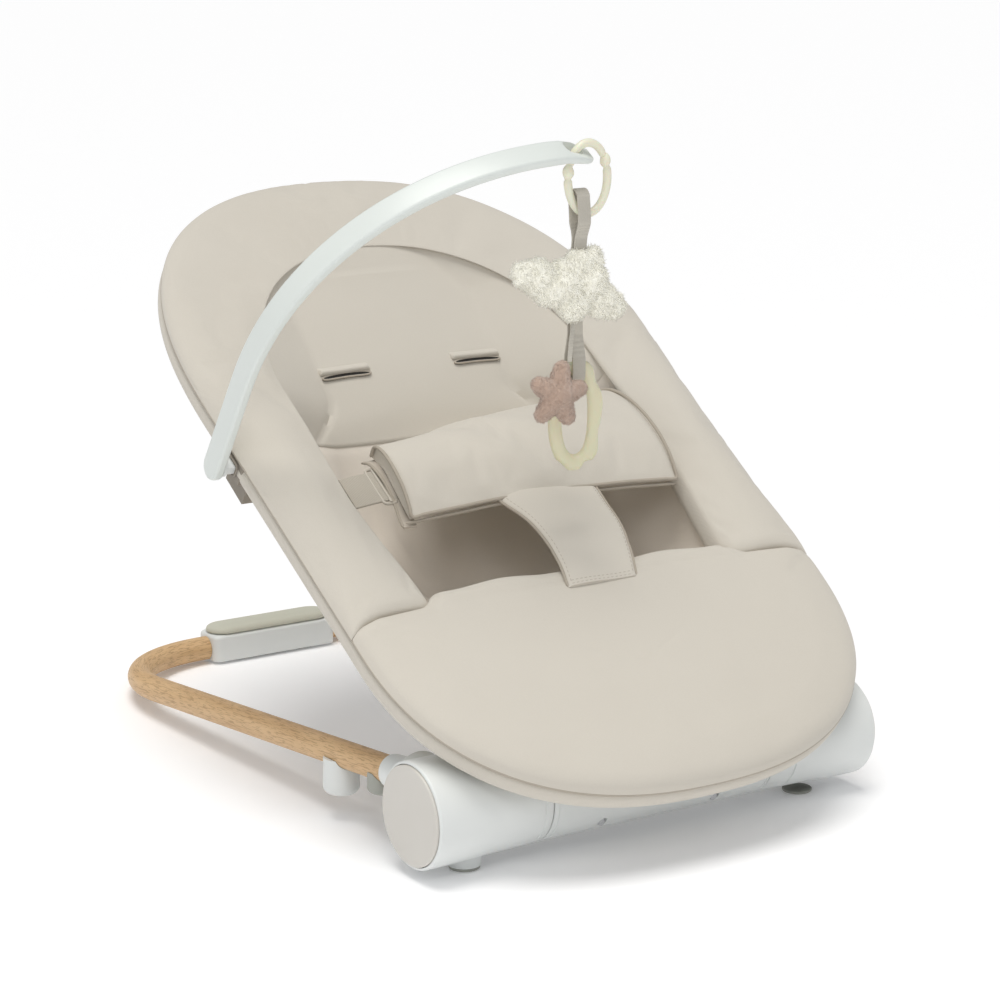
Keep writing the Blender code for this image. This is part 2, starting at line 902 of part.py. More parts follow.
def make_bolsters():
    for side, tag in ((-1, "left"), (1, "right")):
        outer = rim_side(foot_seam + seam_gap, head_split - seam_gap, 10, pad_edge)
        inner = [(inner_half_at(y) + seam_gap, y) for x, y in reversed(outer)]
        outline = [(side * x, y) for x, y in outer + inner]
        prism("side_bolster_" + tag, outline, pad_bottom, pad_top, cloth, seat, bevel=0.006)
    outer = rim_side(head_split + seam_gap, seat_length / 2 - pad_edge, 12, pad_edge)
    inner = [(0.060, head_seam), (inner_head_half - 0.02, head_seam - 0.012)]
    inner += [(inner_head_half, head_split + seam_gap)]
    outline = outer[:-1] + [(0.0, seat_length / 2 - pad_edge)] + both(outer[:-1])
    outline += both(inner) + inner
    prism("head_bolster", outline, pad_bottom, pad_top, cloth, seat, bevel=0.006)
    outer = rim_side(-(seat_length / 2 - pad_edge), foot_seam - seam_gap, 14, pad_edge)
    outline = [(0.0, -(seat_length / 2 - pad_edge))] + outer[1:] + both(outer[1:])
    prism("foot_pad", outline, pad_bottom, pad_top, cloth, seat, bevel=0.006)


def make_back_panel():
    sections = []
    for along, top in ((head_seam - 0.004, 0.004), (0.215, -0.010), (0.150, -0.024), (0.0900, -0.042)):
        half = min(inner_half_at(along), pouch_half) - 0.003
        if along > head_split:
            half = inner_head_half - 0.006 - 0.5 * (along - head_split)
        low = top - panel_thickness
        sections.append(
            [
                (-half, along, top),
                (0.0, along, top - 0.004),
                (half, along, top),
                (half, along, low),
                (0.0, along, low - 0.004),
                (-half, along, low),
            ]
        )
    loft("back_panel", sections, cloth, seat)


def make_pouch():
    """A fabric bucket, open above, whose floor comes up to the back panel and to the foot pad."""
    sections = []
    for along, depth in (
        (0.0890, 0.046),
        (0.050, 0.068),
        (0.010, 0.084),
        (-0.040, 0.090),
        (-0.080, 0.084),
        (-0.105, 0.064),
        (-0.1230, 0.030),
        (foot_seam + seam_gap, 0.006),
    ):
        top = pad_bottom - 0.0015
        outer = bucket_section(pouch_half, depth, top, 0.0)
        inner = bucket_section(pouch_half, depth, top, pouch_wall)
        sections.append([(x, along, z) for x, z in outer + inner[::-1]])
    loft("seat_pouch", sections, cloth, seat)


def bucket_section(half, depth, top, inset):
    """One U, from the left lip down, across and up to the right lip."""
    low = -depth + inset
    width = half - inset
    corner = min(0.030, (top + depth) * 0.45)
    points = [(-width, top)]
    for turn in (180, 225, 270):
        angle = math.radians(turn)
        points.append((-width + corner + corner * math.cos(angle), low + corner + corner * math.sin(angle)))
    return points + [(-x, z) for x, z in reversed(points)]


def make_under_cover():
    """The cover's underside, round the pouch and the back panel."""
    top = -frame_drop - frame_radius - 0.0009
    inset = 0.0020
    reach = seat_length / 2 - inset
    side = rim_side(-reach, reach, 24, inset)
    outline = [(0.0, -reach)] + side[1:-1] + [(0.0, reach)] + both(side[1:-1])
    body = prism("under_cover", outline, top - cover_thickness, top, cloth, seat)
    hole = [(pouch_half + 0.0015, foot_seam + seam_gap - 0.004), (pouch_half + 0.0015, 0.100)]
    hole += [(inner_half_at(y), y) for y in (0.130, 0.165, head_split)] + [(0.092, head_seam)]
    boolean(
        body,
        prism("cover_hole", hole + both(hole), top - 0.01, top + 0.01, cloth, seat),
    )
    edge = half_width(socket_along)
    for sign, tag in ((-1, "left"), (1, "right")):
        low_x, high_x = sorted((sign * (0.1930 - arm_radius - 0.0045), sign * (edge + 0.01)))
        boolean(
            body,
            block(
                "cover_notch_" + tag,
                (low_x, socket_along - socket_half - 0.0005, top - 0.01),
                (high_x, socket_along + socket_half + 0.0005, top + 0.01),
                cloth,
                seat,
            ),
        )


def make_restraint():
    middle = (belly_left + belly_right) / 2
    half = (belly_right - belly_left) / 2
    sections = []
    for share in (-1.0, -0.8, -0.3, 0.3, 0.8, 1.0):
        x = middle + half * share
        lift = 0.004 * (1 - share * share)
        bottom, top = belly_bottom + lift, belly_top + lift
        sections.append(
            [
                (x, belly_low, bottom + 0.002),
                (x, belly_low, top - 0.004),
                (x, belly_low + 0.012, top),
                (x, belly_high - 0.012, top),
                (x, belly_high, top - 0.004),
                (x, belly_high, bottom + 0.002),
            ]
        )
    loft("belly_pad", sections, cloth, seat)
    across = (belly_low + belly_high) / 2
    height = (belly_bottom + belly_top) / 2 - 0.0045
    for tag, side, pad_end in (("left", -1, -belly_left), ("right", 1, belly_right)):
        start = pad_end + gap
        end = start + buckle_length
        low_x, high_x = sorted((side * start, side * end))
        block(
            "waist_buckle_" + tag,
            (low_x, across - buckle_width / 2, height - 0.0035),
            (high_x, across + buckle_width / 2, height + 0.0035),
            white,
            seat,
            bevel=0.0010,
        )
        low_x, high_x = sorted((side * (end + gap), side * (inner_half - gap)))
        block(
            "waist_strap_" + tag,
            (low_x, across - webbing_width / 2, height - webbing_thickness / 2),
            (high_x, across + webbing_width / 2, height + webbing_thickness / 2),
            tape,
            seat,
        )
    sections = []
    end = belly_low - gap
    start = foot_seam - 0.0150
    for share in (0.0, 0.25, 0.5, 0.75, 1.0):
        along = start + (end - start) * share
        wide = strap_low_half + (strap_high_half - strap_low_half) * share**1.5
        low = pad_top + gap - 0.003 * share
        centre = 0.008 + 0.004 * share
        sections.append(
            [
                (centre - wide, along, low),
                (centre + wide, along, low),
                (centre + wide, along, low + strap_thickness),
                (centre - wide, along, low + strap_thickness),
            ]
        )
    loft("crotch_strap", sections, cloth, seat)


def band_points():
    """Centre line (x, normal) of the toy bar: up the left side, over, and out to its tip."""
    line = [(-band_x, pivot_height - band_width / 2)]
    line += [(-band_x, pivot_height - band_width * 0.46)]
    line += [(-band_x, pivot_height - band_width * 0.33)]
    line += [(-band_x, pivot_height), (-band_x, 0.020), (-band_x, 0.055)]
    rise = band_top - band_straight
    for step in range(0, 13):
        angle = math.radians(88) * step / 12
        x = -band_x * math.cos(angle) ** (2 / band_power)
        line.append((x, band_straight + rise * math.sin(angle) ** (2 / band_power)))
    line = [point for point in line if point[0] < -0.026]
    line += [(-0.0215, band_top - 0.0006), (-0.0100, band_top - 0.35 * tip_droop)]
    line += [(tip_x - 0.004, band_top - 0.85 * tip_droop), (tip_x, band_top - tip_droop)]
    return line


def make_toy_bar():
    line = band_points()
    sections = []
    for index, (x, normal) in enumerate(line):
        before = Vector(line[max(index - 1, 0)])
        after = Vector(line[min(index + 1, len(line) - 1)])
        run = (after - before).normalized()
        out = Vector((-run.y, run.x))
        from_foot = normal - (pivot_height - band_width / 2)
        half = band_width / 2
        if index < 4:
            half = math.sqrt(max(half**2 - (half - from_foot) ** 2, 0.0016**2))
        thick = band_thickness
        if x > -0.03 and normal > band_straight:
            share = (x + 0.03) / (tip_x + 0.03)
            thick = band_thickness + (tip_thickness - band_thickness) * share
            half = band_width / 2 - 0.0025 * share**3
        corner = min(0.0022, half * 0.4)
        section = []
        for across, off in (
            (-half, -thick / 2 + corner),
            (-half + corner, -thick / 2),
            (half - corner, -thick / 2),
            (half, -thick / 2 + corner),
            (half, thick / 2 - corner),
            (half - corner, thick / 2),
            (-half + corner, thick / 2),
            (-half, thick / 2 - corner),
        ):
            section.append((x + out.x * off, socket_along + across, normal + out.y * off))
        sections.append(section)
    bar = loft("toy_bar", sections, white, seat)
    boolean(
        bar,
        turned(
            "pivot_bore",
            (
                (band_x - band_thickness / 2 - 0.01, 0.0),
                (band_x - band_thickness / 2 - 0.01, pivot_radius + gap),
                (band_x + band_thickness / 2 - 0.0022, pivot_radius + gap),
                (band_x + band_thickness / 2 - 0.0022, 0.0),
            ),
            white,
            seat,
            steps=24,
            hollow=False,
            side=-1,
            centre=(0, socket_along, pivot_height),
        ),
    )
    hook = hook_point()
    slot = prism(
        "ring_slot",
        [(x + hook.x, y + hook.y) for x, y in stadium(slot_length / 2, slot_width / 2, 6)],
        hook.z - 0.02,
        hook.z + 0.02,
        white,
    )
    boolean(bar, slot)


def make_bar_mount():
    """A tongue that plugs into the left connector, with the stub that the bar turns on."""
    edge = half_width(socket_along)
    face = band_x - band_thickness / 2 - gap
    body = turned(
        "bar_mount",
        (
            (face - 0.0030, 0.0),
            (face - 0.0030, 0.0095),
            (face, 0.0095),
            (face, pivot_radius),
            (band_x + band_thickness / 2 - 0.0028, pivot_radius),
            (band_x + band_thickness / 2 - 0.0028, 0.0),
        ),
        white,
        seat,
        steps=24,
        hollow=False,
        side=-1,
        centre=(0, socket_along, pivot_height),
    )
    tongue = block(
        "bar_tongue",
        (-face + 0.0015, socket_along - tongue_half, pivot_height - tongue_height),
        (-edge + tongue_length, socket_along + tongue_half, pivot_height + tongue_height),
        white,
        seat,
    )
    boolean(body, tongue, "UNION")


def on_seat(x, along, normal):
    """World position of a point in the seat's own plane."""
    turn = Matrix.Rotation(seat_tilt, 4, "X")
    return Vector((0.0, rim_ahead - base_length, axle_height + rim_rise)) + turn @ Vector((x, along, normal))


def hook_point():
    """Middle of the slot that the link ring goes through."""
    return on_seat(-0.0115, socket_along, band_top - 0.30 * tip_droop)


def hang_point():
    """The point below the band's tip that the toys are placed from."""
    return on_seat(0.0, socket_along, band_top)


def oval_ring(name, centre, outer, inner, depth, scallop, lobes, finish, steps):
    """A flat ring that stands in the XZ plane, with a waved outer edge."""
    bm = bmesh.new()
    rings = []
    for step in range(steps):
        angle = 2 * math.pi * step / steps
        wave = 1 + scallop * math.cos(lobes * angle)
        out = Vector((outer[0] * math.cos(angle), 0.0, outer[1] * math.sin(angle))) * wave
        hole = Vector((inner[0] * math.cos(angle), 0.0, inner[1] * math.sin(angle)))
        width = (out - hole) * 0.25
        half = Vector((0.0, depth / 2, 0.0))
        points = [out - half * 0.4, out + half * 0.4, out - width + half]
        points += [hole + width + half, hole + half * 0.4, hole - half * 0.4]
        points += [hole + width - half, out - width - half]
        rings.append([bm.verts.new(centre + point) for point in points])
    skin(bm, rings + rings[:1])
    return add(name, mesh_of(name, bm), finish)


def pillow(name, centre, outline, depth, finish, rings=3):
    """A plump solid that stands in the XZ plane inside an outline of (x, z) points."""
    bm = bmesh.new()
    loops = [[bm.verts.new(centre + Vector((x, 0.0, z))) for x, z in outline]]
    tips = []
    for sign in (-1, 1):
        last = loops[0]
        for ring in range(1, rings):
            share = 1 - ring / rings
            bulge = sign * depth * math.sqrt(1 - share**2)
            loop = [bm.verts.new(centre + Vector((x * share, bulge, z * share))) for x, z in outline]
            skin(bm, [last, loop])
            last = loop
        tip = bm.verts.new(centre + Vector((0.0, sign * depth, 0.0)))
        tips.append(tip)
        for index in range(len(last)):
            bm.faces.new((last[index], last[(index + 1) % len(last)], tip))
    return add(name, mesh_of(name, bm), finish)


def cloth_loop(name, centre, radius, clear, length, up, finish):
    """A doubled tab round a wire. It hangs below when up is 1. The loop is open over the clear height."""
    path = [(-0.0019, -length), (-radius, -clear)]
    steps = 6
    for step in range(steps + 1):
        angle = math.pi * (1 - step / steps)
        path.append((radius * math.cos(angle), radius * math.sin(angle)))
    path += [(radius, -clear), (0.0019, -length)]
    sections = []
    for index, point in enumerate(path):
        before = Vector(path[max(index - 1, 0)])
        after = Vector(path[min(index + 1, len(path) - 1)])
        run = (after - before).normalized()
        out = Vector((-run.y, run.x)) * tab_cloth / 2
        section = []
        for across, sign in ((-1, -1), (1, -1), (1, 1), (-1, 1)):
            y = point[0] + sign * out.x
            z = (point[1] + sign * out.y) * up
            section.append(centre + Vector((across * tab_width / 2, y, z)))
        sections.append(section)
    return loft(name, sections, finish)


def make_toys():
    hang = hang_point()
    ring_centre = hang + Vector((link_x, 0.0, -link_drop))
    bm = bmesh.new()
    loops = []
    steps, sides = 24, 8
    for step in range(steps):
        angle = 2 * math.pi * step / steps
        middle = Vector((link_half_width * math.cos(angle), 0.0, link_half_height * math.sin(angle)))
        out = Vector((math.cos(angle) / link_half_width, 0.0, math.sin(angle) / link_half_height)).normalized()
        loop = []
        for side in range(sides):
            turn = 2 * math.pi * side / sides
            offset = out * math.cos(turn) + Vector((0.0, math.sin(turn), 0.0))
            loop.append(bm.verts.new(ring_centre + middle + offset * link_wire))
        loops.append(loop)
    skin(bm, loops + loops[:1])
    add("link_ring", mesh_of("link_ring", bm), cream)

    wire = ring_centre - Vector((0.0, 0.0, link_half_height))
    cloud_top = hang.z - cloud_drop + cloud_half_height
    tab_x = -0.0062
    tab_rise = 0.0135
    tab_middle = Vector((tab_x, wire.y, wire.z + tab_rise))
    fold = link_wire + 0.0020 + tab_cloth / 2
    length = wire.z + tab_rise - cloud_top - gap
    cloth_loop("strap_loop", tab_middle, fold, tab_rise + link_wire + 0.001, length, 1, tape)

    cloud_middle = Vector((-0.0150, wire.y, hang.z - cloud_drop))
    outline = []
    for step in range(30):
        angle = 2 * math.pi * step / 30
        lobe = 1 - 0.10 * (1 + math.cos(5 * (angle - math.radians(90)) + math.pi)) / 2
        outline.append((cloud_half_width * lobe * math.cos(angle), cloud_half_height * lobe * math.sin(angle)))
    pillow("cloud_toy", cloud_middle, outline, cloud_half_depth, plush)

    cloud_base = cloud_middle.z - cloud_half_height
    knot = cloud_base - 0.0018
    star_y = wire.y - 0.0170
    star_middle = Vector((-0.0280, star_y, hang.z - star_drop))
    outline = []
    for step in range(20):
        angle = math.radians(86 - 18 * step)
        radius = (star_radius, star_radius * 0.80, star_radius * 0.58, star_radius * 0.80)[step % 4]
        outline.append((radius * math.cos(angle), radius * math.sin(angle)))
    pillow("star_toy", star_middle, outline, 0.0110, dusty)
    top = star_middle.z + star_radius + 0.0006
    sections = []
    for x, y, z in ((-0.0130, wire.y - 0.0040, knot), (-0.0260, star_y, top)):
        sections.append(
            [
                (x - 0.0020, y - 0.0007, z),
                (x + 0.0020, y - 0.0007, z),
                (x + 0.0020, y + 0.0007, z),
                (x - 0.0020, y + 0.0007, z),
            ]
        )
    loft("star_ribbon", sections, tape)

    teether_y = wire.y + 0.0050
    teether_middle = Vector((-0.0057, teether_y, hang.z - teether_drop))
    outer = (0.0200, 0.0435)
    inner = (0.0115, 0.0345)
    oval_ring("teether_ring", teether_middle, outer, inner, teether_depth, 0.03, 9, cream, 36)
    fold_z = teether_middle.z + inner[1] - 0.0025
    fold = teether_depth / 2 + 0.0010 + tab_cloth / 2
    tab_foot = Vector((teether_middle.x, teether_y, fold_z))
    clear = teether_middle.z + outer[1] + 0.0015 - fold_z
    cloth_loop("teether_tab", tab_foot, fold, clear, knot - fold_z, -1, tape)


for hand, label in ((-1, "left"), (1, "right")):
    make_hub(hand, label)
    make_cap(hand, label)
    make_lock(hand, label)
    make_foot(hand, label)
    make_leg(hand, label)
    make_leg_stop(hand, label, "leg_stop", stop_y, stop_radius, stop_bottom, white)
    make_leg_stop(hand, label, "leg_bumper", bumper_y, bumper_radius, bumper_bottom, rubber)
    make_arm(hand, label)
make_connector(-1, "left", "bar_socket")
make_connector(1, "right", "frame_connector")
make_crossbar()
make_barrel()
make_frame()
make_bolsters()
make_back_panel()
make_pouch()
make_under_cover()
make_restraint()
make_bar_mount()
make_toy_bar()
make_toys()
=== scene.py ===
# Looks of a bouncer seat: padded oval seat, round cross tube, oak legs, one-sided toy bar and its toys.
import math

import bmesh
import bpy
import numpy as np
from mathutils import Matrix, Vector


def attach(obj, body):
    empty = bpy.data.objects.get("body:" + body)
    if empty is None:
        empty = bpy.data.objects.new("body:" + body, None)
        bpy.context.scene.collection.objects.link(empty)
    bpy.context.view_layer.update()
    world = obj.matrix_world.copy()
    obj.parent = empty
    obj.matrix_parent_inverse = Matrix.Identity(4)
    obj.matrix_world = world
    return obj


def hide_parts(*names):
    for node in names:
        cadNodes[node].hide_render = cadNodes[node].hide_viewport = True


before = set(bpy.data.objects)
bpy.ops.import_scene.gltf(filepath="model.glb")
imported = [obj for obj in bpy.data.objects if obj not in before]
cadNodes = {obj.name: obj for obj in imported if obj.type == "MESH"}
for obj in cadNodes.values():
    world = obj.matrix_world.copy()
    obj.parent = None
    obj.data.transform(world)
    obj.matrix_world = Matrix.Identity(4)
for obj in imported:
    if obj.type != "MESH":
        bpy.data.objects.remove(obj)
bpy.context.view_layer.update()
print("frame loaded:", len(cadNodes), "nodes")

place = {
    "tilt": math.radians(33.3),  # of the seat's own plane
    "axleY": -0.6035,
    "axleZ": 0.0506,
    "seatY": -0.4005,
    "seatZ": 0.2590,
}
outline = {
    "length": 0.7226,
    "headHalf": 0.2297,
    "footHalf": 0.2239,
    "headCurve": 0.2522,
    "footCurve": 0.1930,
    "power": 2.3725,
}
recess = {
    "half": 0.155,  # inner seam of the bolsters
    "pinch": 0.0115,  # how far it closes in towards the knees
    "archStart": 0.10,
    "archRise": 0.167,
    "archPower": 2.15,
    "front": -0.1365,
    "wall": 0.0035,
}


# points and curves
def onSeat(points):  # x across, s along the seat, n out of it
    p = np.asarray(points, float)
    c, s = math.cos(place["tilt"]), math.sin(place["tilt"])
    out = np.empty_like(p)
    out[..., 0] = p[..., 0]
    out[..., 1] = place["seatY"] + p[..., 1] * c - p[..., 2] * s
    out[..., 2] = place["seatZ"] + p[..., 1] * s + p[..., 2] * c
    return out


def onAxle(points):  # measured from the axis of the cross tube
    return np.asarray(points, float) + (0.0, place["axleY"], place["axleZ"])


def ease(low, high, x):
    t = np.clip((np.asarray(x, float) - low) / (high - low), 0, 1)
    return t * t * (3 - 2 * t)


def bump(x, middle, width):
    return np.exp(-(((np.asarray(x, float) - middle) / width) ** 2))


def dome(t):  # quarter round: 0 at the edge, 1 from t = 1 on
    return np.sqrt(np.maximum(0, 1 - (1 - np.clip(t, 0, 1)) ** 2))


def resample(points, count):
    points = np.asarray(points, float)
    steps = np.r_[0, np.cumsum(np.linalg.norm(np.diff(points, axis=0), axis=1))]
    at = np.linspace(0, steps[-1], count)
    return np.stack([np.interp(at, steps, points[:, k]) for k in range(points.shape[1])], 1)


def flowing(points, steps=8):  # Catmull-Rom through the points
    p = np.asarray(points, float)
    full = np.vstack([2 * p[0] - p[1], p, 2 * p[-1] - p[-2]])
    t = np.linspace(0, 1, steps, endpoint=False)[:, None]
    path = []
    for a, b, c, d in zip(full, full[1:], full[2:], full[3:]):
        path.append(
            0.5 * (2 * b + (c - a) * t + (2 * a - 5 * b + 4 * c - d) * t**2 + (3 * b - a - 3 * c + d) * t**3)
        )
    return np.vstack(path + [p[-1:]])


def along(table, at):  # smooth reading of a small table of (position, value)
    keys = np.array(sorted(table))
    fine = flowing(keys, 12)
    return np.interp(at, fine[:, 0], fine[:, 1])


def halfWidth(s, inset=0.0):
    s = np.asarray(s, float)
    reach = outline["length"] / 2 - inset
    head = outline["length"] / 2 - outline["headCurve"]
    foot = outline["footCurve"] - outline["length"] / 2
    share = (np.clip(s, foot, head) - foot) / (head - foot)
    width = outline["footHalf"] + (outline["headHalf"] - outline["footHalf"]) * share - inset
    end = np.where(s > head, (s - head) / (reach - head), np.where(s < foot, (foot - s) / (reach + foot), 0))
    power = outline["power"]
    return width * np.maximum(0, 1 - np.clip(end, 0, 1) ** power) ** (1 / power)


def rimCurve(start, end, count, inset=0.0):  # right side of the outline, evenly spaced
    reach = outline["length"] / 2 - inset
    turn = np.linspace(math.asin(max(-1, start / reach)), math.asin(min(1, end / reach)), 500)
    s = reach * np.sin(turn)
    return resample(np.stack([halfWidth(s, inset), s], 1), count)


def innerHalf(s):
    s = np.asarray(s, float)
    rise = np.clip((s - recess["archStart"]) / recess["archRise"], 0, 1)
    arch = recess["half"] * np.maximum(0, 1 - rise ** recess["archPower"]) ** (1 / recess["archPower"])
    return arch - recess["pinch"] * (1 - ease(-0.15, -0.02, s))


def seamAt(x):  # where a side bolster meets the knee pad
    keys = (0.1400, 0.1435, 0.1490, 0.1570, 0.1800, 0.2000, 0.2150, 0.2230, 0.2300)
    values = (-0.1385, -0.1440, -0.1485, -0.1502, -0.1512, -0.1525, -0.1560, -0.1610, -0.1640)
    return np.interp(np.abs(x), keys, values)


# meshes
def piece(name, points, faces, finish, body=None, crease=40):
    mesh = bpy.data.meshes.new(name)
    mesh.from_pydata(np.asarray(points, float).reshape(-1, 3).tolist(), [], faces)
    bm = bmesh.new()
    bm.from_mesh(mesh)
    bmesh.ops.remove_doubles(bm, verts=bm.verts, dist=1e-7)
    bmesh.ops.recalc_face_normals(bm, faces=bm.faces)
    if bm.calc_volume(signed=True) < 0:
        bmesh.ops.reverse_faces(bm, faces=bm.faces)
    bm.to_mesh(mesh)
    bm.free()
    mesh.shade_smooth()
    mesh.set_sharp_from_angle(angle=math.radians(crease))
    made = bpy.data.objects.new(name, mesh)
    bpy.context.scene.collection.objects.link(made)
    mesh.materials.append(finish)
    if body:
        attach(made, body)
    return made


def gridFaces(rows, columns, wrapRows, wrapColumns):
    i = np.arange(rows if wrapRows else rows - 1)[:, None]
    j = np.arange(columns if wrapColumns else columns - 1)[None, :]
    k, m = (i + 1) % rows, (j + 1) % columns
    quads = np.stack([i * columns + j, i * columns + m, k * columns + m, k * columns + j], -1)
    return quads.reshape(-1, 4).tolist()


def loft(name, sections, finish, body=None, ring=False, crease=40, sheet=False):  # closed sections joined in order
    grid = np.asarray(sections, float)
    rows, columns = grid.shape[:2]
    points = grid.reshape(-1, 3)
    faces = gridFaces(rows, columns, ring, True)
    if sheet:  # the second half of each section is the underside of the first, so strips close the ends
        last = (rows - 1) * columns
        for j in range(columns // 2 - 1):
            k = columns - 1 - j
            faces.append((j, k, k - 1, j + 1))
            faces.append((last + j, last + j + 1, last + k - 1, last + k))
    elif not ring:
        tips = [grid[0].mean(0), grid[-1].mean(0)]
        points = np.vstack([points, tips])
        last = (rows - 1) * columns
        for j in range(columns):
            m = (j + 1) % columns
            faces.append((rows * columns, m, j))
            faces.append((rows * columns + 1, last + j, last + m))
    return piece(name, points, faces, finish, body, crease)


def lathe(name, profile, finish, body=None, axis="X", centre=(0, 0, 0), steps=96, ring=False, crease=35):
    profile = np.asarray(profile, float)  # (along, radius) pairs, from axis to axis unless it is a ring
    turn = np.linspace(0, 2 * math.pi, steps, endpoint=False)
    across, up = np.cos(turn), np.sin(turn)
    grid = np.empty((len(profile), steps, 3))
    order = {"X": (0, 1, 2), "Y": (1, 0, 2), "Z": (2, 0, 1)}[axis]
    grid[..., order[0]] = profile[:, :1]
    grid[..., order[1]] = profile[:, 1:] * across
    grid[..., order[2]] = profile[:, 1:] * up
    return loft(name, grid + np.asarray(centre), finish, body, ring, crease)


def runFrames(path):  # unit tangent, side and up at each point, carried along without twist
    path = np.asarray(path, float)
    tangent = np.gradient(path, axis=0)
    tangent /= np.linalg.norm(tangent, axis=1)[:, None]
    first = np.array([0.0, 0.0, 1.0]) if abs(tangent[0][2]) < 0.9 else np.array([1.0, 0.0, 0.0])
    side = np.cross(tangent[0], first)
    sides = []
    for t in tangent:
        side = side - t * side.dot(t)
        side /= np.linalg.norm(side)
        sides.append(side.copy())
    sides = np.array(sides)
    return tangent, sides, np.cross(sides, tangent)


def tubeRings(path, radius, sides=16):
    path = np.asarray(path, float)
    _, side, up = runFrames(path)
    turn = np.linspace(0, 2 * math.pi, sides, endpoint=False)
    radius = np.broadcast_to(np.asarray(radius, float), len(path))[:, None, None]
    circle = np.cos(turn)[None, :, None] * side[:, None] + np.sin(turn)[None, :, None] * up[:, None]
    return path[:, None] + radius * circle


def roundEnds(path, radius, reach):  # radii that close a tube in a rounded tip at both ends
    steps = np.r_[0, np.cumsum(np.linalg.norm(np.diff(path, axis=0), axis=1))]
    near = np.minimum(steps, steps[-1] - steps)
    return np.maximum(radius * dome(near / reach), radius * 0.12)


def join(target, *others):
    for other in others:
        for row in other.data.materials:
            if row.name not in target.data.materials:
                target.data.materials.append(row)
        offset = {i: target.data.materials.find(m.name) for i, m in enumerate(other.data.materials)}
        bm = bmesh.new()
        bm.from_mesh(target.data)
        had = len(bm.faces)
        bm.from_mesh(other.data)
        bm.faces.ensure_lookup_table()
        for face in bm.faces[had:]:
            face.material_index = offset[face.material_index]
        bm.to_mesh(target.data)
        bm.free()
        bpy.data.objects.remove(other, do_unlink=True)
    return target


def carve(target, tool, operation="DIFFERENCE", crease=35):
    step = target.modifiers.new("cut", "BOOLEAN")
    step.operation, step.solver, step.object = operation, "EXACT", tool
    applyModifiers(target, crease)
    bpy.data.objects.remove(tool, do_unlink=True)
    return target


def applyModifiers(target, crease=35):
    graph = bpy.context.evaluated_depsgraph_get()
    graph.update()
    mesh = bpy.data.meshes.new_from_object(target.evaluated_get(graph))
    target.modifiers.clear()
    target.data = mesh
    mesh.shade_smooth()
    mesh.set_sharp_from_angle(angle=math.radians(crease))
    return target


def coordinates(mesh):
    flat = np.empty(len(mesh.vertices) * 3, np.float32)
    mesh.vertices.foreach_get("co", flat)
    return flat.reshape(-1, 3).astype(float)


def setCoordinates(mesh, points):
    mesh.vertices.foreach_set("co", np.asarray(points, np.float32).ravel())
    mesh.update()


def plump(target, held, pressure, cap, frames=14, slack=0.0):  # inflates the cloth between its held seams
    rest = coordinates(target.data)
    group = target.vertex_groups.new(name="held")
    for index in np.flatnonzero(held):
        group.add([int(index)], 1.0, "ADD")
    step = target.modifiers.new("cloth", "CLOTH")
    step.settings.vertex_group_mass = "held"
    step.settings.use_pressure = True
    step.settings.uniform_pressure_force = pressure
    step.settings.shrink_min = -slack
    step.settings.tension_stiffness = step.settings.compression_stiffness = 12
    step.settings.bending_stiffness = 0.6
    step.settings.quality = 4
    step.settings.effector_weights.gravity = 0
    step.point_cache.frame_start, step.point_cache.frame_end = 1, frames
    scene = bpy.context.scene
    for number in range(1, frames + 1):
        scene.frame_set(number)
    graph = bpy.context.evaluated_depsgraph_get()
    blown = coordinates(target.evaluated_get(graph).data)
    scene.frame_set(1)
    target.modifiers.clear()
    target.vertex_groups.clear()
    move = blown - rest
    size = np.linalg.norm(move, axis=1)[:, None]
    setCoordinates(target.data, rest + move * np.minimum(1, cap / np.maximum(size, 1e-9)))
    print(f"  {target.name}: cloth moved up to {size.max() * 1000:.1f} mm, held to {cap * 1000:.0f} mm")
    return target


# finishes
class Value:  # a socket or number that can be added, multiplied and mixed
    def __init__(self, finish, link):
        self.finish, self.link = finish, link

    def __add__(self, other):
        return self.finish.maths("ADD", self, other)

    def __sub__(self, other):
        return self.finish.maths("SUBTRACT", self, other)

    def __rsub__(self, other):
        return self.finish.maths("SUBTRACT", other, self)

    def __mul__(self, other):
        return self.finish.maths("MULTIPLY", self, other)

    def __pow__(self, other):
        return self.finish.maths("POWER", self, other)

    __radd__, __rmul__ = __add__, __mul__


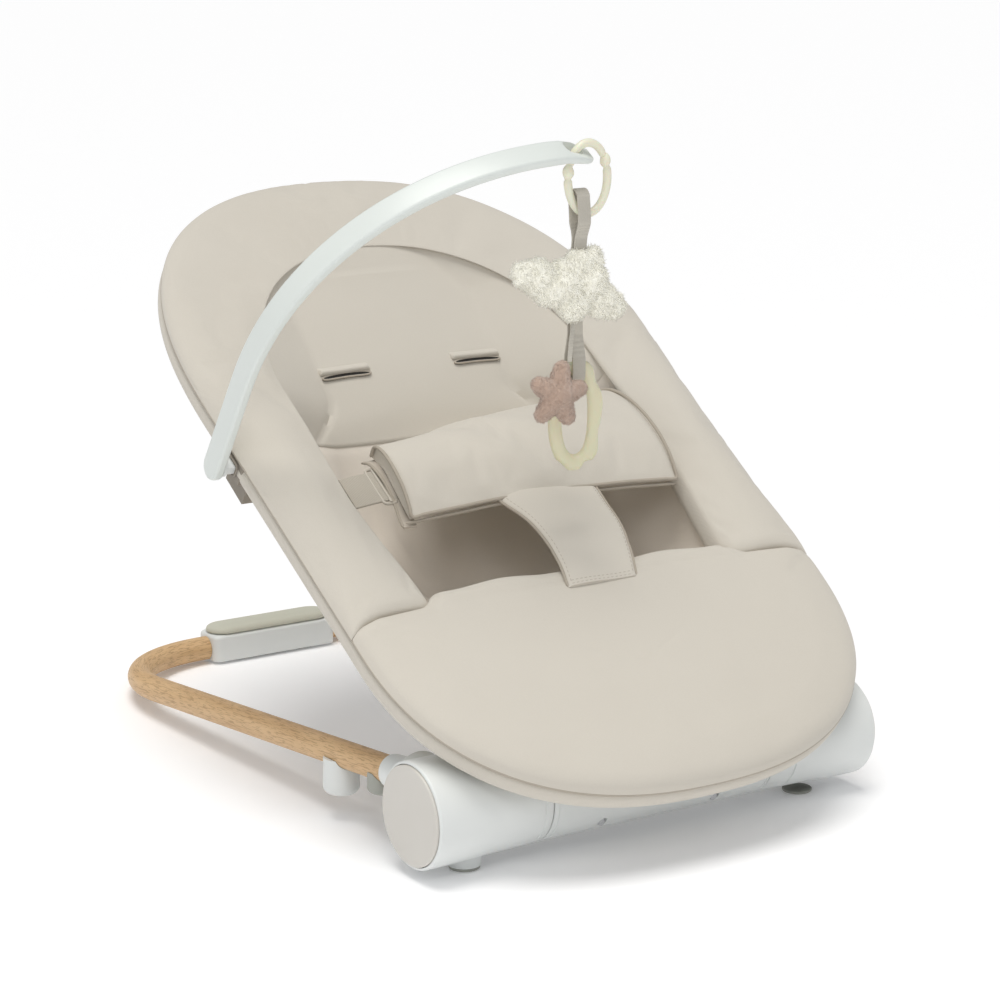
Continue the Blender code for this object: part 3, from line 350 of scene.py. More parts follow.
class Finish:
    def __init__(self, name, colour, roughness, **fixed):
        self.material = bpy.data.materials.new(name)
        self.material.use_nodes = True
        self.tree = self.material.node_tree
        self.shader = self.tree.nodes["Principled BSDF"]
        self.shader.inputs["Base Color"].default_value = (*linear(colour), 1)
        self.shader.inputs["Roughness"].default_value = roughness
        for label, value in fixed.items():
            self.shader.inputs[label.replace("_", " ")].default_value = value

    def feed(self, socket, value):
        if isinstance(value, Value):
            self.tree.links.new(value.link, socket)
        else:
            socket.default_value = value

    def node(self, kind, settings=None, sockets=None, output=0):
        made = self.tree.nodes.new("ShaderNode" + kind)
        for label, value in (settings or {}).items():
            if label == "stops":
                ramp = made.color_ramp
                while len(ramp.elements) < len(value):
                    ramp.elements.new(1)
                for stop, (position, colour) in zip(ramp.elements, value):
                    stop.position, stop.color = position, (*linear(colour), 1)
            else:
                setattr(made, label, value)
        for label, value in (sockets or {}).items():
            self.feed(made.inputs[label], value)
        return Value(self, made.outputs[output])

    def maths(self, operation, first, second):
        return self.node("Math", {"operation": operation}, {0: first, 1: second})

    def space(self, turn=(0, 0, 0), scale=(1, 1, 1)):  # the piece's own coordinates, in metres
        own = self.node("TexCoord", output=3)
        return self.node("Mapping", None, {"Vector": own, "Rotation": turn, "Scale": scale})

    def named(self, attribute, scale=(1, 1, 1)):
        read = self.node("Attribute", {"attribute_name": attribute}, output=1)
        return self.node("Mapping", None, {"Vector": read, "Scale": scale})

    def noise(self, vector, scale, detail=3, rough=0.55, output=0):
        return self.node(
            "TexNoise", None, {"Vector": vector, "Scale": scale, "Detail": detail, "Roughness": rough}, output
        )

    def wave(self, vector, scale, direction="X", bend=0.0, bendScale=1.0):
        settings = {"wave_type": "BANDS", "bands_direction": direction}
        return self.node(
            "TexWave", settings, {"Vector": vector, "Scale": scale, "Distortion": bend, "Detail Scale": bendScale}
        )

    def mix(self, share, first, second):
        made = self.tree.nodes.new("ShaderNodeMix")
        made.data_type = "RGBA"
        for index, value in ((0, share), (6, first), (7, second)):
            if isinstance(value, tuple):
                value = (*linear(value), 1)
            self.feed(made.inputs[index], value)
        return Value(self, made.outputs[2])

    def colour(self, value):
        self.feed(self.shader.inputs["Base Color"], value)

    def roughness(self, value):
        self.feed(self.shader.inputs["Roughness"], value)

    def relief(self, height, distance, strength=1.0):
        made = self.node("Bump", None, {"Height": height, "Distance": distance, "Strength": strength})
        self.feed(self.shader.inputs["Normal"], made)


def linear(colour):  # sRGB 0-255 to the renderer's own scale
    return tuple(c / 255 / 12.92 if c <= 10 else ((c / 255 + 0.055) / 1.055) ** 2.4 for c in colour)


clothLook = {"colour": (214, 208, 197), "dark": (204, 197, 185), "thread": 0.00075, "relief": 0.00012}


def clothFinish(name, colour, dark, thread, relief, tilt=True):
    made = Finish(name, colour, 0.86, Sheen_Weight=0.22, Sheen_Roughness=0.45, Specular_IOR_Level=0.22)
    own = made.space((-place["tilt"] if tilt else 0, 0, 0))
    across = made.wave(own, 0.314 / thread, "X", 0.6, 3.0)
    lengthways = made.wave(own, 0.314 / thread, "Y", 0.6, 3.0)
    weave = across * lengthways
    heather = made.noise(own, 900, 2)
    cloudy = made.noise(own, 9, 3)
    share = heather * 0.45 + cloudy * 0.40 + weave * 0.15
    made.colour(made.mix(share, colour, dark))
    made.roughness(heather * 0.10 + 0.80)
    made.relief(weave * 0.7 + heather * 0.5, relief)
    return made.material


cloth = clothFinish("greigeCloth", **clothLook)
# pouch cloth: the cover cloth painted lighter, as painted light that offsets the shade deep in the recess
clothLightenedPouch = clothFinish("greigePouchPaintedLight", (232, 224, 213), (222, 213, 201), 0.0008, 0.00012)
clothInner = clothFinish("greigeInner", (200, 191, 178), (188, 178, 165), 0.0008, 0.00012)
trim = clothFinish("greigeBinding", (186, 177, 163), (170, 160, 146), 0.0006, 0.00014)

webbingLook = {"colour": (196, 189, 176), "dark": (168, 160, 147), "rib": 0.0012}


def webbingFinish():
    made = Finish("ribbedWebbing", webbingLook["colour"], 0.8, Sheen_Weight=0.2, Specular_IOR_Level=0.25)
    own = made.space((-place["tilt"], 0, 0))
    ribs = made.wave(own, 0.314 / webbingLook["rib"], "X", 0.3, 2.0)
    fibre = made.noise(own, 1400, 2)
    made.colour(made.mix(ribs * 0.5 + fibre * 0.5, webbingLook["colour"], webbingLook["dark"]))
    made.roughness(fibre * 0.15 + 0.72)
    made.relief(ribs + fibre * 0.4, 0.0002)
    return made.material


webbing = webbingFinish()


def plasticFinish(name, colour, dark, roughness, grain=0.00003, **fixed):  # fine moulded texture
    made = Finish(name, colour, roughness, Specular_IOR_Level=0.45, **fixed)
    own = made.space()
    spark = made.noise(own, 2600, 2)
    soft = made.noise(own, 14, 3)
    made.colour(made.mix(soft * 0.6 + spark * 0.2, colour, dark))
    made.roughness(soft * 0.10 + spark * 0.06 + (roughness - 0.08))
    made.relief(spark, grain)
    return made.material


white = plasticFinish("whitePlastic", (230, 232, 230), (223, 226, 224), 0.36)
bandWhite = plasticFinish("toyBarPlastic", (224, 229, 225), (218, 223, 219), 0.32)
greige = plasticFinish("greigePlastic", (196, 189, 177), (186, 178, 165), 0.5)
pocket = plasticFinish("pocketPlastic", (150, 142, 131), (138, 130, 119), 0.7, 0.00006)
capBeige = plasticFinish("beigeCap", (214, 210, 203), (206, 202, 194), 0.42, 0.00004)
blackPlastic = plasticFinish("blackPlastic", (52, 52, 50), (38, 38, 37), 0.5)
rubber = plasticFinish("greyRubber", (172, 173, 165), (158, 159, 151), 0.75, 0.00006)
sage = plasticFinish("sageGrip", (204, 203, 188), (195, 194, 178), 0.62, 0.00012)
creamPlastic = plasticFinish("creamPlastic", (238, 234, 214), (230, 224, 200), 0.33, Subsurface_Weight=0.12)
teetherCream = plasticFinish("teetherSilicone", (226, 222, 194), (216, 210, 178), 0.30, Subsurface_Weight=0.2)


def steelFinish():
    made = Finish("brushedSteel", (190, 190, 192), 0.34, Metallic=1.0)
    own = made.space(scale=(60, 900, 900))
    brush = made.noise(own, 1, 3)
    made.colour(made.mix(brush, (196, 196, 198), (168, 169, 172)))
    made.roughness(brush * 0.2 + 0.26)
    made.relief(brush, 0.00002)
    return made.material


steel = steelFinish()

oakLook = {"pale": (224, 190, 146), "middle": (208, 171, 125), "dark": (172, 133, 92), "pores": 0.34}


def oakFinish():
    made = Finish("oakWood", oakLook["middle"], 0.5, Specular_IOR_Level=0.35, Coat_Weight=0.12, Coat_Roughness=0.35)
    grain = made.named("grain", (11, 150, 150))
    fine = made.named("grain", (60, 900, 900))
    figure = made.named("grain", (2.4, 34, 34))
    bands = made.noise(grain, 1.0, 5, 0.62)
    streak = made.noise(fine, 1.0, 3, 0.6)
    broad = made.noise(figure, 1.0, 3, 0.5)
    tone = made.node(
        "ValToRGB",
        {"stops": ((0.25, oakLook["dark"]), (0.45, oakLook["middle"]), (0.66, oakLook["pale"]))},
        {"Fac": bands * 0.55 + streak * 0.25 + broad * 0.25},
    )
    pores = made.maths("GREATER_THAN", made.noise(made.named("grain", (90, 1100, 1100)), 1.0, 2, 0.5), 0.57)
    made.colour(made.mix(pores * oakLook["pores"], tone, (126, 84, 44)))
    made.roughness(streak * 0.18 + 0.42)
    made.relief(streak - pores * 0.6, 0.00016)
    return made.material


oak = oakFinish()


def plushFinish(name, colour, dark, size, glow):  # the glow stands for light passing through the pile
    soft = {"Sheen_Weight": 0.6, "Sheen_Roughness": 0.5, "Specular_IOR_Level": 0.1, "Emission_Strength": glow}
    made = Finish(name, colour, 0.95, **soft)
    made.shader.inputs["Emission Color"].default_value = (*linear(colour), 1)
    own = made.space()
    curl = made.noise(own, 1 / size, 4, 0.7)
    fine = made.noise(own, 4 / size, 3, 0.7)
    made.colour(made.mix((curl * 0.65 + fine * 0.35) ** 1.3, dark, colour))
    made.roughness(fine * 0.1 + 0.88)
    made.relief(curl + fine * 0.6, 0.0012)
    return made.material


# the cloud's cream is painted lighter than its plush and its glow of 0.10 is painted light: both lift the shade its
# tufts cast on the pile
cream = plushFinish("creamPlush", (255, 254, 244), (253, 249, 234), 0.006, 0.10)
dusty = plushFinish("dustyPlush", (226, 200, 182), (188, 158, 139), 0.0028, 0.02)
print("finishes made")


# seat padding
recessLook = {
    "depth": (  # place along the seat, depth below its plane
        (0.272, -0.0129), (0.262, -0.0095), (0.250, -0.005), (0.230, 0.002), (0.190, 0.0115), (0.145, 0.022),
        (0.110, 0.034), (0.085, 0.047), (0.050, 0.064), (0.010, 0.080), (-0.040, 0.086), (-0.080, 0.079),
        (-0.105, 0.060), (-0.123, 0.028), (-0.136, 0.006),
    ),
    "lip": (-0.004, 0.0095),  # edge height beside the seat and beside the back
    "crease": 0.091,
}


def lipAt(s):
    low, high = recessLook["lip"]
    return low + (high - low) * ease(-0.03, 0.07, s) + 0.0034 * ease(0.08, 0.20, s)


rimLook = {"low": 0.0052, "high": 0.0212, "inner": 0.0165, "wall": 0.027, "roll": 0.011, "edge": 0.0008}


def bolsterSection(outer, inner, lift, end):
    width = np.linalg.norm(inner - outer)
    quarter = np.radians(np.linspace(0, 90, 11))
    wall, roll = rimLook["wall"], rimLook["roll"]
    low = rimLook["low"]
    high = rimLook["high"] - 0.0045 * float(ease(0.15, 0.33, outer[1]))
    flush = float(ease(0.12, 0.22, inner[1]))
    inside = rimLook["inner"] - 0.002 * float(ease(0.0, 0.10, inner[1])) - 0.0010 * flush
    d = list(wall * (1 - np.cos(quarter)))
    n = list(low + (high - low) * np.sin(quarter) ** 0.9)
    t = np.linspace(0, 1, 15)[1:-1]
    d += list(wall + (width - wall - roll) * t)
    n += list(high + (inside - high) * (0.25 * t + 0.75 * t**2) + 0.0012 * np.sin(math.pi * t))
    d += list(width - roll + roll * np.sin(quarter))
    n += list(end + (inside - end) * np.cos(quarter) ** 0.8)
    d += [width - 0.004, width * 0.6, width * 0.3, 0.004]
    n += [end - 0.003, 0.0038, 0.0044, 0.0046]
    d, n = np.array(d) / width, np.array(n)
    top = np.arange(len(n)) < len(n) - 4
    n = np.where(top, low + (n - low) * lift, n)
    flat = outer + (inner - outer) * d[:, None]
    return np.column_stack([flat, n])


def makeRimPad():
    start = -0.150
    straight = np.linspace(start, recess["archStart"], 46)[:-1]
    straight = start + (straight - start) * (0.35 + 0.65 * (straight - start) / (recess["archStart"] - start))
    outer = np.vstack(
        [np.column_stack([halfWidth(straight, rimLook["edge"]), straight]),
         rimCurve(recess["archStart"], outline["length"] / 2, 60, rimLook["edge"])]
    )
    turn = np.radians(np.linspace(0, 90, 300))
    power = 2 / recess["archPower"]
    arch = np.column_stack(
        [recess["half"] * np.cos(turn) ** power, recess["archStart"] + recess["archRise"] * np.sin(turn) ** power]
    )
    inner = np.vstack([np.column_stack([innerHalf(straight), straight]), resample(arch, 60)])
    outer[-1, 0] = inner[-1, 0] = 0.0
    sections = []
    for o, i in zip(outer, inner):
        near = o[1] - start
        lift = 1.0 if o[1] > 0 else 0.62 + 0.38 * dome(near / 0.014)
        section = bolsterSection(o, i, float(lift), float(lipAt(i[1])) - 0.001)
        fade = 1 - ease(start, start + 0.075, section[:, 1])
        section[:, 1] += (seamAt(section[:, 0]) - start) * fade
        sections.append(section)
    right = np.array(sections)
    left = right[-2::-1] * (-1, 1, 1)
    grid = np.concatenate([right, left])
    made = loft("rimPad", grid, cloth, crease=60)
    seatCoords = coordinates(made.data)
    held = (seatCoords[:, 2] < 0.0062) | (seatCoords[:, 1] < start + 0.004)
    held |= edgeDistance(np.abs(seatCoords[:, :2]) * (1, 0) + seatCoords[:, :2] * (0, 1), inner) < 0.0035
    plump(made, held, 1.6, 0.0035, slack=0.004)
    p = coordinates(made.data)
    p[:, 2] += softRipples(p)
    setCoordinates(made.data, onSeat(p))
    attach(made, "seat")
    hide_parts("head_bolster", "side_bolster_left", "side_bolster_right")
    return made


def softRipples(p):  # the slight unevenness of stretched cover cloth
    x, s = p[:, 0], p[:, 1]
    wide = 0.0006 * np.sin(31 * s + 9 * np.abs(x) + 0.6) * np.sin(23 * x + 11 * s + 1.1)
    narrow = 0.00025 * np.sin(88 * s - 37 * x) * np.sin(61 * x + 42 * s + 0.4)
    return (wide + narrow) * np.clip((p[:, 2] - 0.006) / 0.012, 0, 1)


kneeLook = {"low": 0.0052, "high": 0.0205, "crown": 0.0022, "wall": 0.030, "roll": 0.013, "crease": 0.0011}


def edgeDistance(points, line):  # distance from each point to a polyline
    a, b = line[:-1], line[1:]
    run = b - a
    t = np.clip(((points[:, None] - a) * run).sum(-1) / np.maximum((run**2).sum(-1), 1e-12), 0, 1)
    return np.linalg.norm(points[:, None] - (a + run * t[..., None]), axis=-1).min(1)


def makeKneePad():
    x = np.linspace(0, 0.1400, 50)
    swell = 0.0035 * np.sin(np.clip((x - 0.03) / 0.10, 0, 1) * math.pi) ** 2
    front = np.column_stack([x, recess["front"] + 0.0015 + swell])
    corner = np.array([(0.1425, -0.1375), (0.1460, -0.1415), (0.1510, -0.1470)])
    x = np.linspace(0.1570, 0.2235, 24)
    seam = np.column_stack([x, seamAt(x) - 0.0007])
    top = np.vstack([front, corner, seam])
    reach = outline["length"] / 2 - 0.0008
    rim = rimCurve(-reach, float(top[-1, 1]), 90, 0.0008)[::-1]
    edge = resample(np.vstack([top, rim]), 150)
    loop = np.vstack([edge, edge[-2:0:-1] * (-1, 1)])
    centre = np.array([0.0, -0.245])
    rings = []
    for f in np.r_[np.linspace(0.02, 0.62, 14), np.linspace(0.65, 0.90, 12), np.linspace(0.912, 1.0, 12)]:
        flat = centre + (loop - centre) * f
        toRim = edgeDistance(np.abs(flat) * (1, 0) + flat * (0, 1), rim)
        toFront = edgeDistance(np.abs(flat) * (1, 0) + flat * (0, 1), np.vstack([front, corner[:1]]))
        toSeam = edgeDistance(np.abs(flat) * (1, 0) + flat * (0, 1), np.vstack([corner, seam]))
        height = kneeLook["high"] - kneeLook["low"] + kneeLook["crown"] * (1 - (flat[:, 0] / 0.21) ** 2)
        lift = dome(toRim / kneeLook["wall"]) ** 0.9
        lift = lift * (0.62 + 0.38 * dome(toSeam / 0.012))
        lift = lift * dome(toFront / kneeLook["roll"]) ** 0.8
        n = kneeLook["low"] + height * lift
        n -= kneeLook["crease"] * bump(flat[:, 1], -0.1525, 0.0016) * (1 - ease(0.125, 0.142, np.abs(flat[:, 0])))
        n -= 0.010 * (1 - dome(toFront / 0.006)) * (toRim > 0.02) * (1 - ease(0.128, 0.140, np.abs(flat[:, 0])))
        rings.append(np.column_stack([flat, n]))
    for f in (0.97, 0.5, 0.05):
        flat = centre + (loop - centre) * f
        rings.append(np.column_stack([flat, np.full(len(flat), 0.0042 if f < 0.9 else 0.0032)]))
    made = loft("kneePad", rings, cloth, crease=60)
    p = coordinates(made.data)
    held = p[:, 2] < 0.0060
    plump(made, held, 1.3, 0.0012)
    p = coordinates(made.data)
    p[:, 2] += softRipples(p)
    setCoordinates(made.data, onSeat(p))
    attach(made, "seat")
    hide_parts("foot_pad")
    return made


makeRimPad()
makeKneePad()
print("rim and knee pads made")


# recess: back panel and pouch
def recessSection(s, columns=61):
    half = float(innerHalf(s - 0.008 * ease(0.12, 0.20, s))) + 0.0045
    lip = float(lipAt(s))
    depth = float(along(recessLook["depth"], s)) + lip
    u = np.linspace(-1, 1, columns)
    angle = math.pi * (1 - u) / 2
    power = 2 / 3.4
    xRound = half * np.sign(np.cos(angle)) * np.abs(np.cos(angle)) ** power
    nRound = -depth * np.sin(angle) ** power
    xPanel = half * u
    crease = min(recessLook["crease"], half * 0.72)
    off = np.abs(xPanel)
    side = np.clip((half - off) / max(half - crease, 1e-4), 0, 1)
    nPanel = -depth * (0.25 * np.sin(side * math.pi / 2) + 0.75 * side**1.15)
    nPanel += 0.0022 * ease(0, 1, 1 - off / crease) * (depth > 0.01)
    nPanel -= 0.0030 * bump(off, crease, 0.0020) * (1 - ease(0.132, 0.148, s)) * ease(0.02, 0.04, depth)
    blend = ease(0.055, 0.125, s)
    x = xRound * (1 - blend) + xPanel * blend
    n = lip + nRound * (1 - blend) + nPanel * blend
    return x, n


def drape(x, s, n):  # soft folds that run down the walls of the pouch
    deep = ease(0.010, 0.050, -n) * (1 - ease(0.03, 0.10, s))
    a = np.sin(46 * x + 14 * s + 0.5) * 0.0040 + np.sin(83 * x - 22 * s + 1.7) * 0.0026
    b = bump(x, -0.085 - 0.25 * (s + 0.10), 0.010) * 0.010 - bump(x, -0.062 - 0.2 * (s + 0.10), 0.008) * 0.008
    c = bump(x, 0.094 + 0.2 * (s + 0.06), 0.013) * 0.012
    c = c - bump(x, 0.122, 0.009) * 0.006 - bump(x, 0.070, 0.008) * 0.006
    return (a + b + c) * deep


def recessPiece(name, rows, finish, tuck, *nodes):  # the tuck takes one end under its neighbour
    sections = []
    for s in rows:
        x, n = recessSection(s)
        n = n + drape(x, s, n) - tuck * float(ease(0.076, 0.086, s))
        run = np.gradient(np.column_stack([x, n]), axis=0)
        run /= np.maximum(np.linalg.norm(run, axis=1), 1e-9)[:, None]
        out = np.column_stack([run[:, 1], -run[:, 0]]) * recess["wall"]
        upper = np.column_stack([x, np.full(len(x), s), n])
        lower = np.column_stack([x + out[:, 0], np.full(len(x), s), n + out[:, 1]])
        sections.append(np.vstack([upper, lower[::-1]]))
    made = loft(name, onSeat(sections), finish, "seat", crease=70, sheet=True)
    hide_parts(*nodes)
    return made


backPanel = recessPiece("backPanel", np.linspace(0.2745, 0.0840, 66), cloth, 0.0, "back_panel")
pouchRows = np.r_[np.linspace(0.0860, -0.0900, 60), np.linspace(-0.0925, -0.1370, 26)]
pouch = recessPiece("seatPouch", pouchRows, clothLightenedPouch, 0.0012, "seat_pouch")


def skinArea(made):
    made.data.calc_loop_triangles()
    p = coordinates(made.data)
    t = np.array([row.vertices[:] for row in made.data.loop_triangles])
    return float(np.linalg.norm(np.cross(p[t[:, 1]] - p[t[:, 0]], p[t[:, 2]] - p[t[:, 0]]), axis=1).sum() / 4)


print("pouch cloth area", round(skinArea(pouch), 4))
skinArea(pouch)


slotLook = {"s": 0.1455, "x": 0.0665, "half": 0.0235, "gape": 0.0024, "cord": 0.0009, "lip": 0.0042, "rise": 0.0030}


def makeHarnessSlot(side, tag):  # bound opening for a shoulder strap, under a turned cloth lip
    s, half, gape = slotLook["s"], slotLook["half"], slotLook["gape"]
    turn = np.linspace(0, 2 * math.pi, 64, endpoint=False)
    xs = side * slotLook["x"] + half * np.sign(np.cos(turn)) * np.abs(np.cos(turn)) ** 0.4
    ss = s - 0.0010 + gape * np.sin(turn) - 0.0016 * ((xs - side * slotLook["x"]) / half) ** 2
    ns = np.interp(np.abs(xs), *surfaceAt(s)) + 0.0006
    path = np.column_stack([xs, ss, ns])
    rings = tubeRings(np.vstack([path, path[:1]]), slotLook["cord"], 10)[:-1]
    binding = loft("slotBinding_" + tag, onSeat(rings), trim, ring=True)
    plate = loft("slit", onSeat([path - (0, 0, 0.0028), path + (0, 0, 0.0003)]), shadow, crease=30)
    reach = half + 0.0012
    lip = []
    for x in side * slotLook["x"] + np.linspace(-reach, reach, 34):
        n = float(np.interp(abs(x), *surfaceAt(s + 0.005)))
        end = float(dome((reach - abs(x - side * slotLook["x"])) / 0.0035)) * 0.85 + 0.15
        around = np.linspace(0, 2 * math.pi, 18, endpoint=False)
        across = np.sign(np.cos(around)) * np.abs(np.cos(around)) ** 0.7
        height = slotLook["rise"] * end * np.sin(around) * (1 - 0.35 * across)
        lip.append(np.column_stack([np.full(18, x), s + 0.0050 + slotLook["lip"] * across, n + height]))
    join(binding, plate, loft("lip", onSeat(lip), cloth))
    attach(binding, "seat")
    return binding


def surfaceAt(s):
    x, n = recessSection(s)
    keep = x >= 0
    order = np.argsort(x[keep])
    return x[keep][order], n[keep][order]


shadow = plasticFinish("slotShadow", (34, 31, 28), (24, 22, 20), 0.9)
makeHarnessSlot(-1, "left")
makeHarnessSlot(1, "right")


# cover under the seat and its wrapped edge
coverLook = {
    "holeTop": 0.184,  # how far up the seat the opening for the pouch reaches
    "bottom": -0.0156,
    "thickness": 0.0018,
    "edgeHalf": 0.0086,
    "middle": -0.0050,
    "piping": 0.0017,
}


def makeCover():
    count = 260
    turn = np.linspace(0, 2 * math.pi, count, endpoint=False)
    reach = outline["length"] / 2
    rimRight = rimCurve(-reach, reach, 400)
    full = np.vstack([rimRight, rimRight[::-1] * (-1, 1)])
    rim = resample(full, count + 1)[:-1]
    hole = []
    for x, s in rim:
        s2 = float(np.clip(s * 0.80 - 0.002, -0.1390, coverLook["holeTop"]))
        hole.append((math.copysign(min(abs(x) * 0.72, float(innerHalf(s2)) + 0.006), x), s2))
    hole = np.array(hole)
    for _ in range(6):
        hole = (np.roll(hole, 1, 0) + hole * 2 + np.roll(hole, -1, 0)) / 4
    inward = -np.stack([rim[:, 0] / halfSquared(0), rim[:, 1] / halfSquared(1)], 1)
    inward /= np.linalg.norm(inward, axis=1)[:, None]
    t = coverLook["thickness"]
    wrap = np.radians(np.linspace(-90, 78, 15))
    rows = []
    for shell in (0, 1):
        half = coverLook["edgeHalf"] - shell * t
        loops = []
        for share in (0.0, 0.15, 0.35, 0.6, 0.8):
            flat = hole + (rim + inward * 0.012 - hole) * share
            sag = 0.0012 * math.sin(math.pi * share) * (1 + 0.5 * np.sin(7 * turn))
            loops.append(np.column_stack([flat, np.full(count, coverLook["bottom"] + shell * t) - sag]))
        for angle in wrap:
            out = 0.0098 - 0.0092 * math.cos(angle) + shell * t * math.cos(angle)
            n = coverLook["middle"] + (half + 0.0018) * math.sin(angle)
            loops.append(np.column_stack([rim + inward * out, np.full(count, n)]))
        rows.append(loops)
    grid = rows[0] + rows[1][::-1]
    made = loft("seatCover", onSeat(grid), cloth, "seat", ring=True, crease=50)
    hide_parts("under_cover")
    skinArea(made)
    path = rim + inward * 0.0022
    cord = np.column_stack([path, np.full(count, 0.0043)])
    rings = tubeRings(np.vstack([cord, cord[:1]]), coverLook["piping"], 10)[:-1]
    piping = loft("rimPiping", onSeat(rings), trim, "seat", ring=True)


def halfSquared(axis):
    return (outline["headHalf"] ** 2, (outline["length"] / 2) ** 2)[axis]


makeCover()
print("recess and cover made")


# belly pad, straps, buckles
bellyLook = {
    "left": -0.1165,
    "right": 0.1440,
    "profile": ((0.082, -0.048), (0.074, -0.030), (0.064, -0.012), (0.054, 0.002), (0.042, 0.014), (0.026, 0.024),
                (0.008, 0.0295), (-0.014, 0.0300),
                (-0.034, 0.0265), (-0.048, 0.0205), (-0.0555, 0.0165)),
    "inside": ((-0.0545, 0.0118), (-0.044, 0.0130), (-0.028, 0.0170), (-0.008, 0.0190), (0.014, 0.0185),
               (0.030, 0.0120), (0.042, 0.0020), (0.054, -0.0120), (0.066, -0.0300), (0.076, -0.0500)),
    "flap": ((0.026, 0.009), (0.012, 0.0145), (-0.010, 0.0145), (-0.030, 0.0115), (-0.048, 0.0080), (-0.0590, 0.0085)),
    "flapEdge": ((0.026, 0.0083), (0.012, 0.0138), (-0.010, 0.0138), (-0.030, 0.0108), (-0.048, 0.0073),
                 (-0.0590, 0.0078)),
    "piping": 0.0015,
}


def bellyPoint(x, s, n):
    t = (x - bellyLook["left"]) / (bellyLook["right"] - bellyLook["left"])
    upper = ease(-0.01, 0.05, s)
    short = 0.05 + 0.95 * ease(0.03, 0.45, t)  # the back of the wrap is cut away at its left end
    if s > 0.030:
        s, n = 0.030 + (s - 0.030) * short, 0.014 + (n - 0.014) * short
    s = s + upper * (-0.014 + 0.026 * t)
    s = s + (1 - upper) * (0.004 * math.sin(math.pi * min(max(t, 0), 1)) - 0.003 * t)
    n = n + 0.003 * math.sin(math.pi * min(max(t, 0), 1)) - 0.0016 * (1 - t)
    n = n + 0.0009 * math.sin(24 * t + 5 * s * 20) * math.sin(math.pi * min(max(t, 0), 1)) * (1 - abs(s) * 10)
    return x, s, n


def makeBellyPad():
    outer = flowing(bellyLook["profile"], 5)
    inner = flowing(bellyLook["inside"], 4)
    loop = np.vstack([outer, inner])
    sections = []
    for t in np.linspace(0, 1, 72):
        x = bellyLook["left"] + (bellyLook["right"] - bellyLook["left"]) * t
        edge = float(dome(min(t, 1 - t) / 0.035)) * 0.35 + 0.65
        row = []
        middle = loop.mean(0)
        thin = 0.75 + 0.25 * edge
        for s, n in loop:
            slant = 0.006 * (s + 0.05) * 10 * (1 - t) * 0.2
            row.append(bellyPoint(x + slant, s, middle[1] + (n - middle[1]) * thin))
        sections.append(row)
    made = loft("bellyPad", sections, cloth, crease=55)
    p = coordinates(made.data)
    held = (p[:, 0] < bellyLook["left"] + 0.004) | (p[:, 0] > bellyLook["right"] - 0.004)
    held |= (p[:, 1] < -0.050) | (p[:, 1] > 0.050)
    plump(made, held, 1.2, 0.003, slack=0.006)
    setCoordinates(made.data, onSeat(coordinates(made.data)))
    edge = [(s, n) for s, n in bellyLook["profile"]][3:]
    leftEdge = [bellyPoint(bellyLook["left"] - 0.0008, s, n + 0.0006) for s, n in edge]
    bottom = [bellyPoint(x, -0.0558, 0.0160) for x in np.linspace(bellyLook["left"], bellyLook["right"], 24)]
    rightEdge = [bellyPoint(bellyLook["right"] + 0.0008, s, n + 0.0004) for s, n in edge[::-1]]
    path = flowing(np.array(leftEdge[:-1] + bottom + rightEdge[1:]), 5)
    rings = tubeRings(path, roundEnds(path, bellyLook["piping"], 0.003), 10)
    piping = loft("bellyPiping", onSeat(rings), trim)
    under = [bellyPoint(x, -0.0580, 0.0118) for x in np.linspace(bellyLook["left"] - 0.006, bellyLook["right"], 24)]
    under = flowing(np.array(under), 4)
    second = loft("lowPiping", onSeat(tubeRings(under, roundEnds(under, 0.0013, 0.003), 8)), trim)
    flap = []
    flapLine = flowing(bellyLook["flap"], 5)
    for t in np.linspace(0, 1, 14):
        x = bellyLook["left"] - 0.0070 + 0.012 * t
        row = []
        for s, n in flapLine:
            row.append(bellyPoint(x + 0.004 * math.sin(40 * (s + 0.06)), s, n))
        back = [(x, s, n - 0.0022) for x, s, n in row[::-1]]
        flap.append(row + back)
    lining = loft("liningFlap", onSeat(flap), clothInner, crease=60, sheet=True)
    edgePath = []
    for s, n in bellyLook["flapEdge"]:
        edgePath.append(bellyPoint(bellyLook["left"] - 0.0072 + 0.004 * math.sin(40 * (s + 0.06)), s, n))
    edgePath = flowing(np.array(edgePath), 6)
    flapEdge = loft("flapPiping", onSeat(tubeRings(edgePath, roundEnds(edgePath, 0.0013, 0.003), 8)), trim)
    join(made, piping, second, lining, flapEdge)
    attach(made, "seat")
    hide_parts("belly_pad")
    return made


def stitchRow(name, path, finish, length=0.0030, space=0.0042, radius=0.00038):  # short raised threads
    path = resample(path, max(3, int(np.linalg.norm(np.diff(path, axis=0), axis=1).sum() / 0.0006)))
    made = None
    step = max(2, int(space / 0.0006))
    size = max(2, int(length / 0.0006))
    for start in range(0, len(path) - size, step):
        part = path[start : start + size + 1]
        ring = tubeRings(part, np.array([0.35] + [1.0] * (len(part) - 2) + [0.35]) * radius, 6)
        thread = loft(name, ring, finish)
        made = thread if made is None else join(made, thread)
    return made


strapLook = {
    "middle": ((-0.163, 0.0035), (-0.130, 0.0115), (-0.107, 0.0140), (-0.083, 0.0150), (-0.040, 0.0150)),
    "half": ((-0.163, 0.0335), (-0.130, 0.0360), (-0.107, 0.0385), (-0.083, 0.0410), (-0.056, 0.0475),
             (-0.040, 0.0490)),
    "height": ((-0.163, 0.0232), (-0.148, 0.0245), (-0.130, 0.0275), (-0.107, 0.0290), (-0.083, 0.0265),
               (-0.056, 0.0195), (-0.040, 0.0140)),
    "thickness": 0.0042,
}


def strapSurface(s, share, lift=0.0):
    middle = along(strapLook["middle"], s)
    half = along(strapLook["half"], s)
    n = along(strapLook["height"], s) - 0.0035 * share**2 * ease(-0.150, -0.125, s) + lift
    n = n + 0.0008 * np.sin(60 * s + 3 * share)
    return middle + half * share, s, n


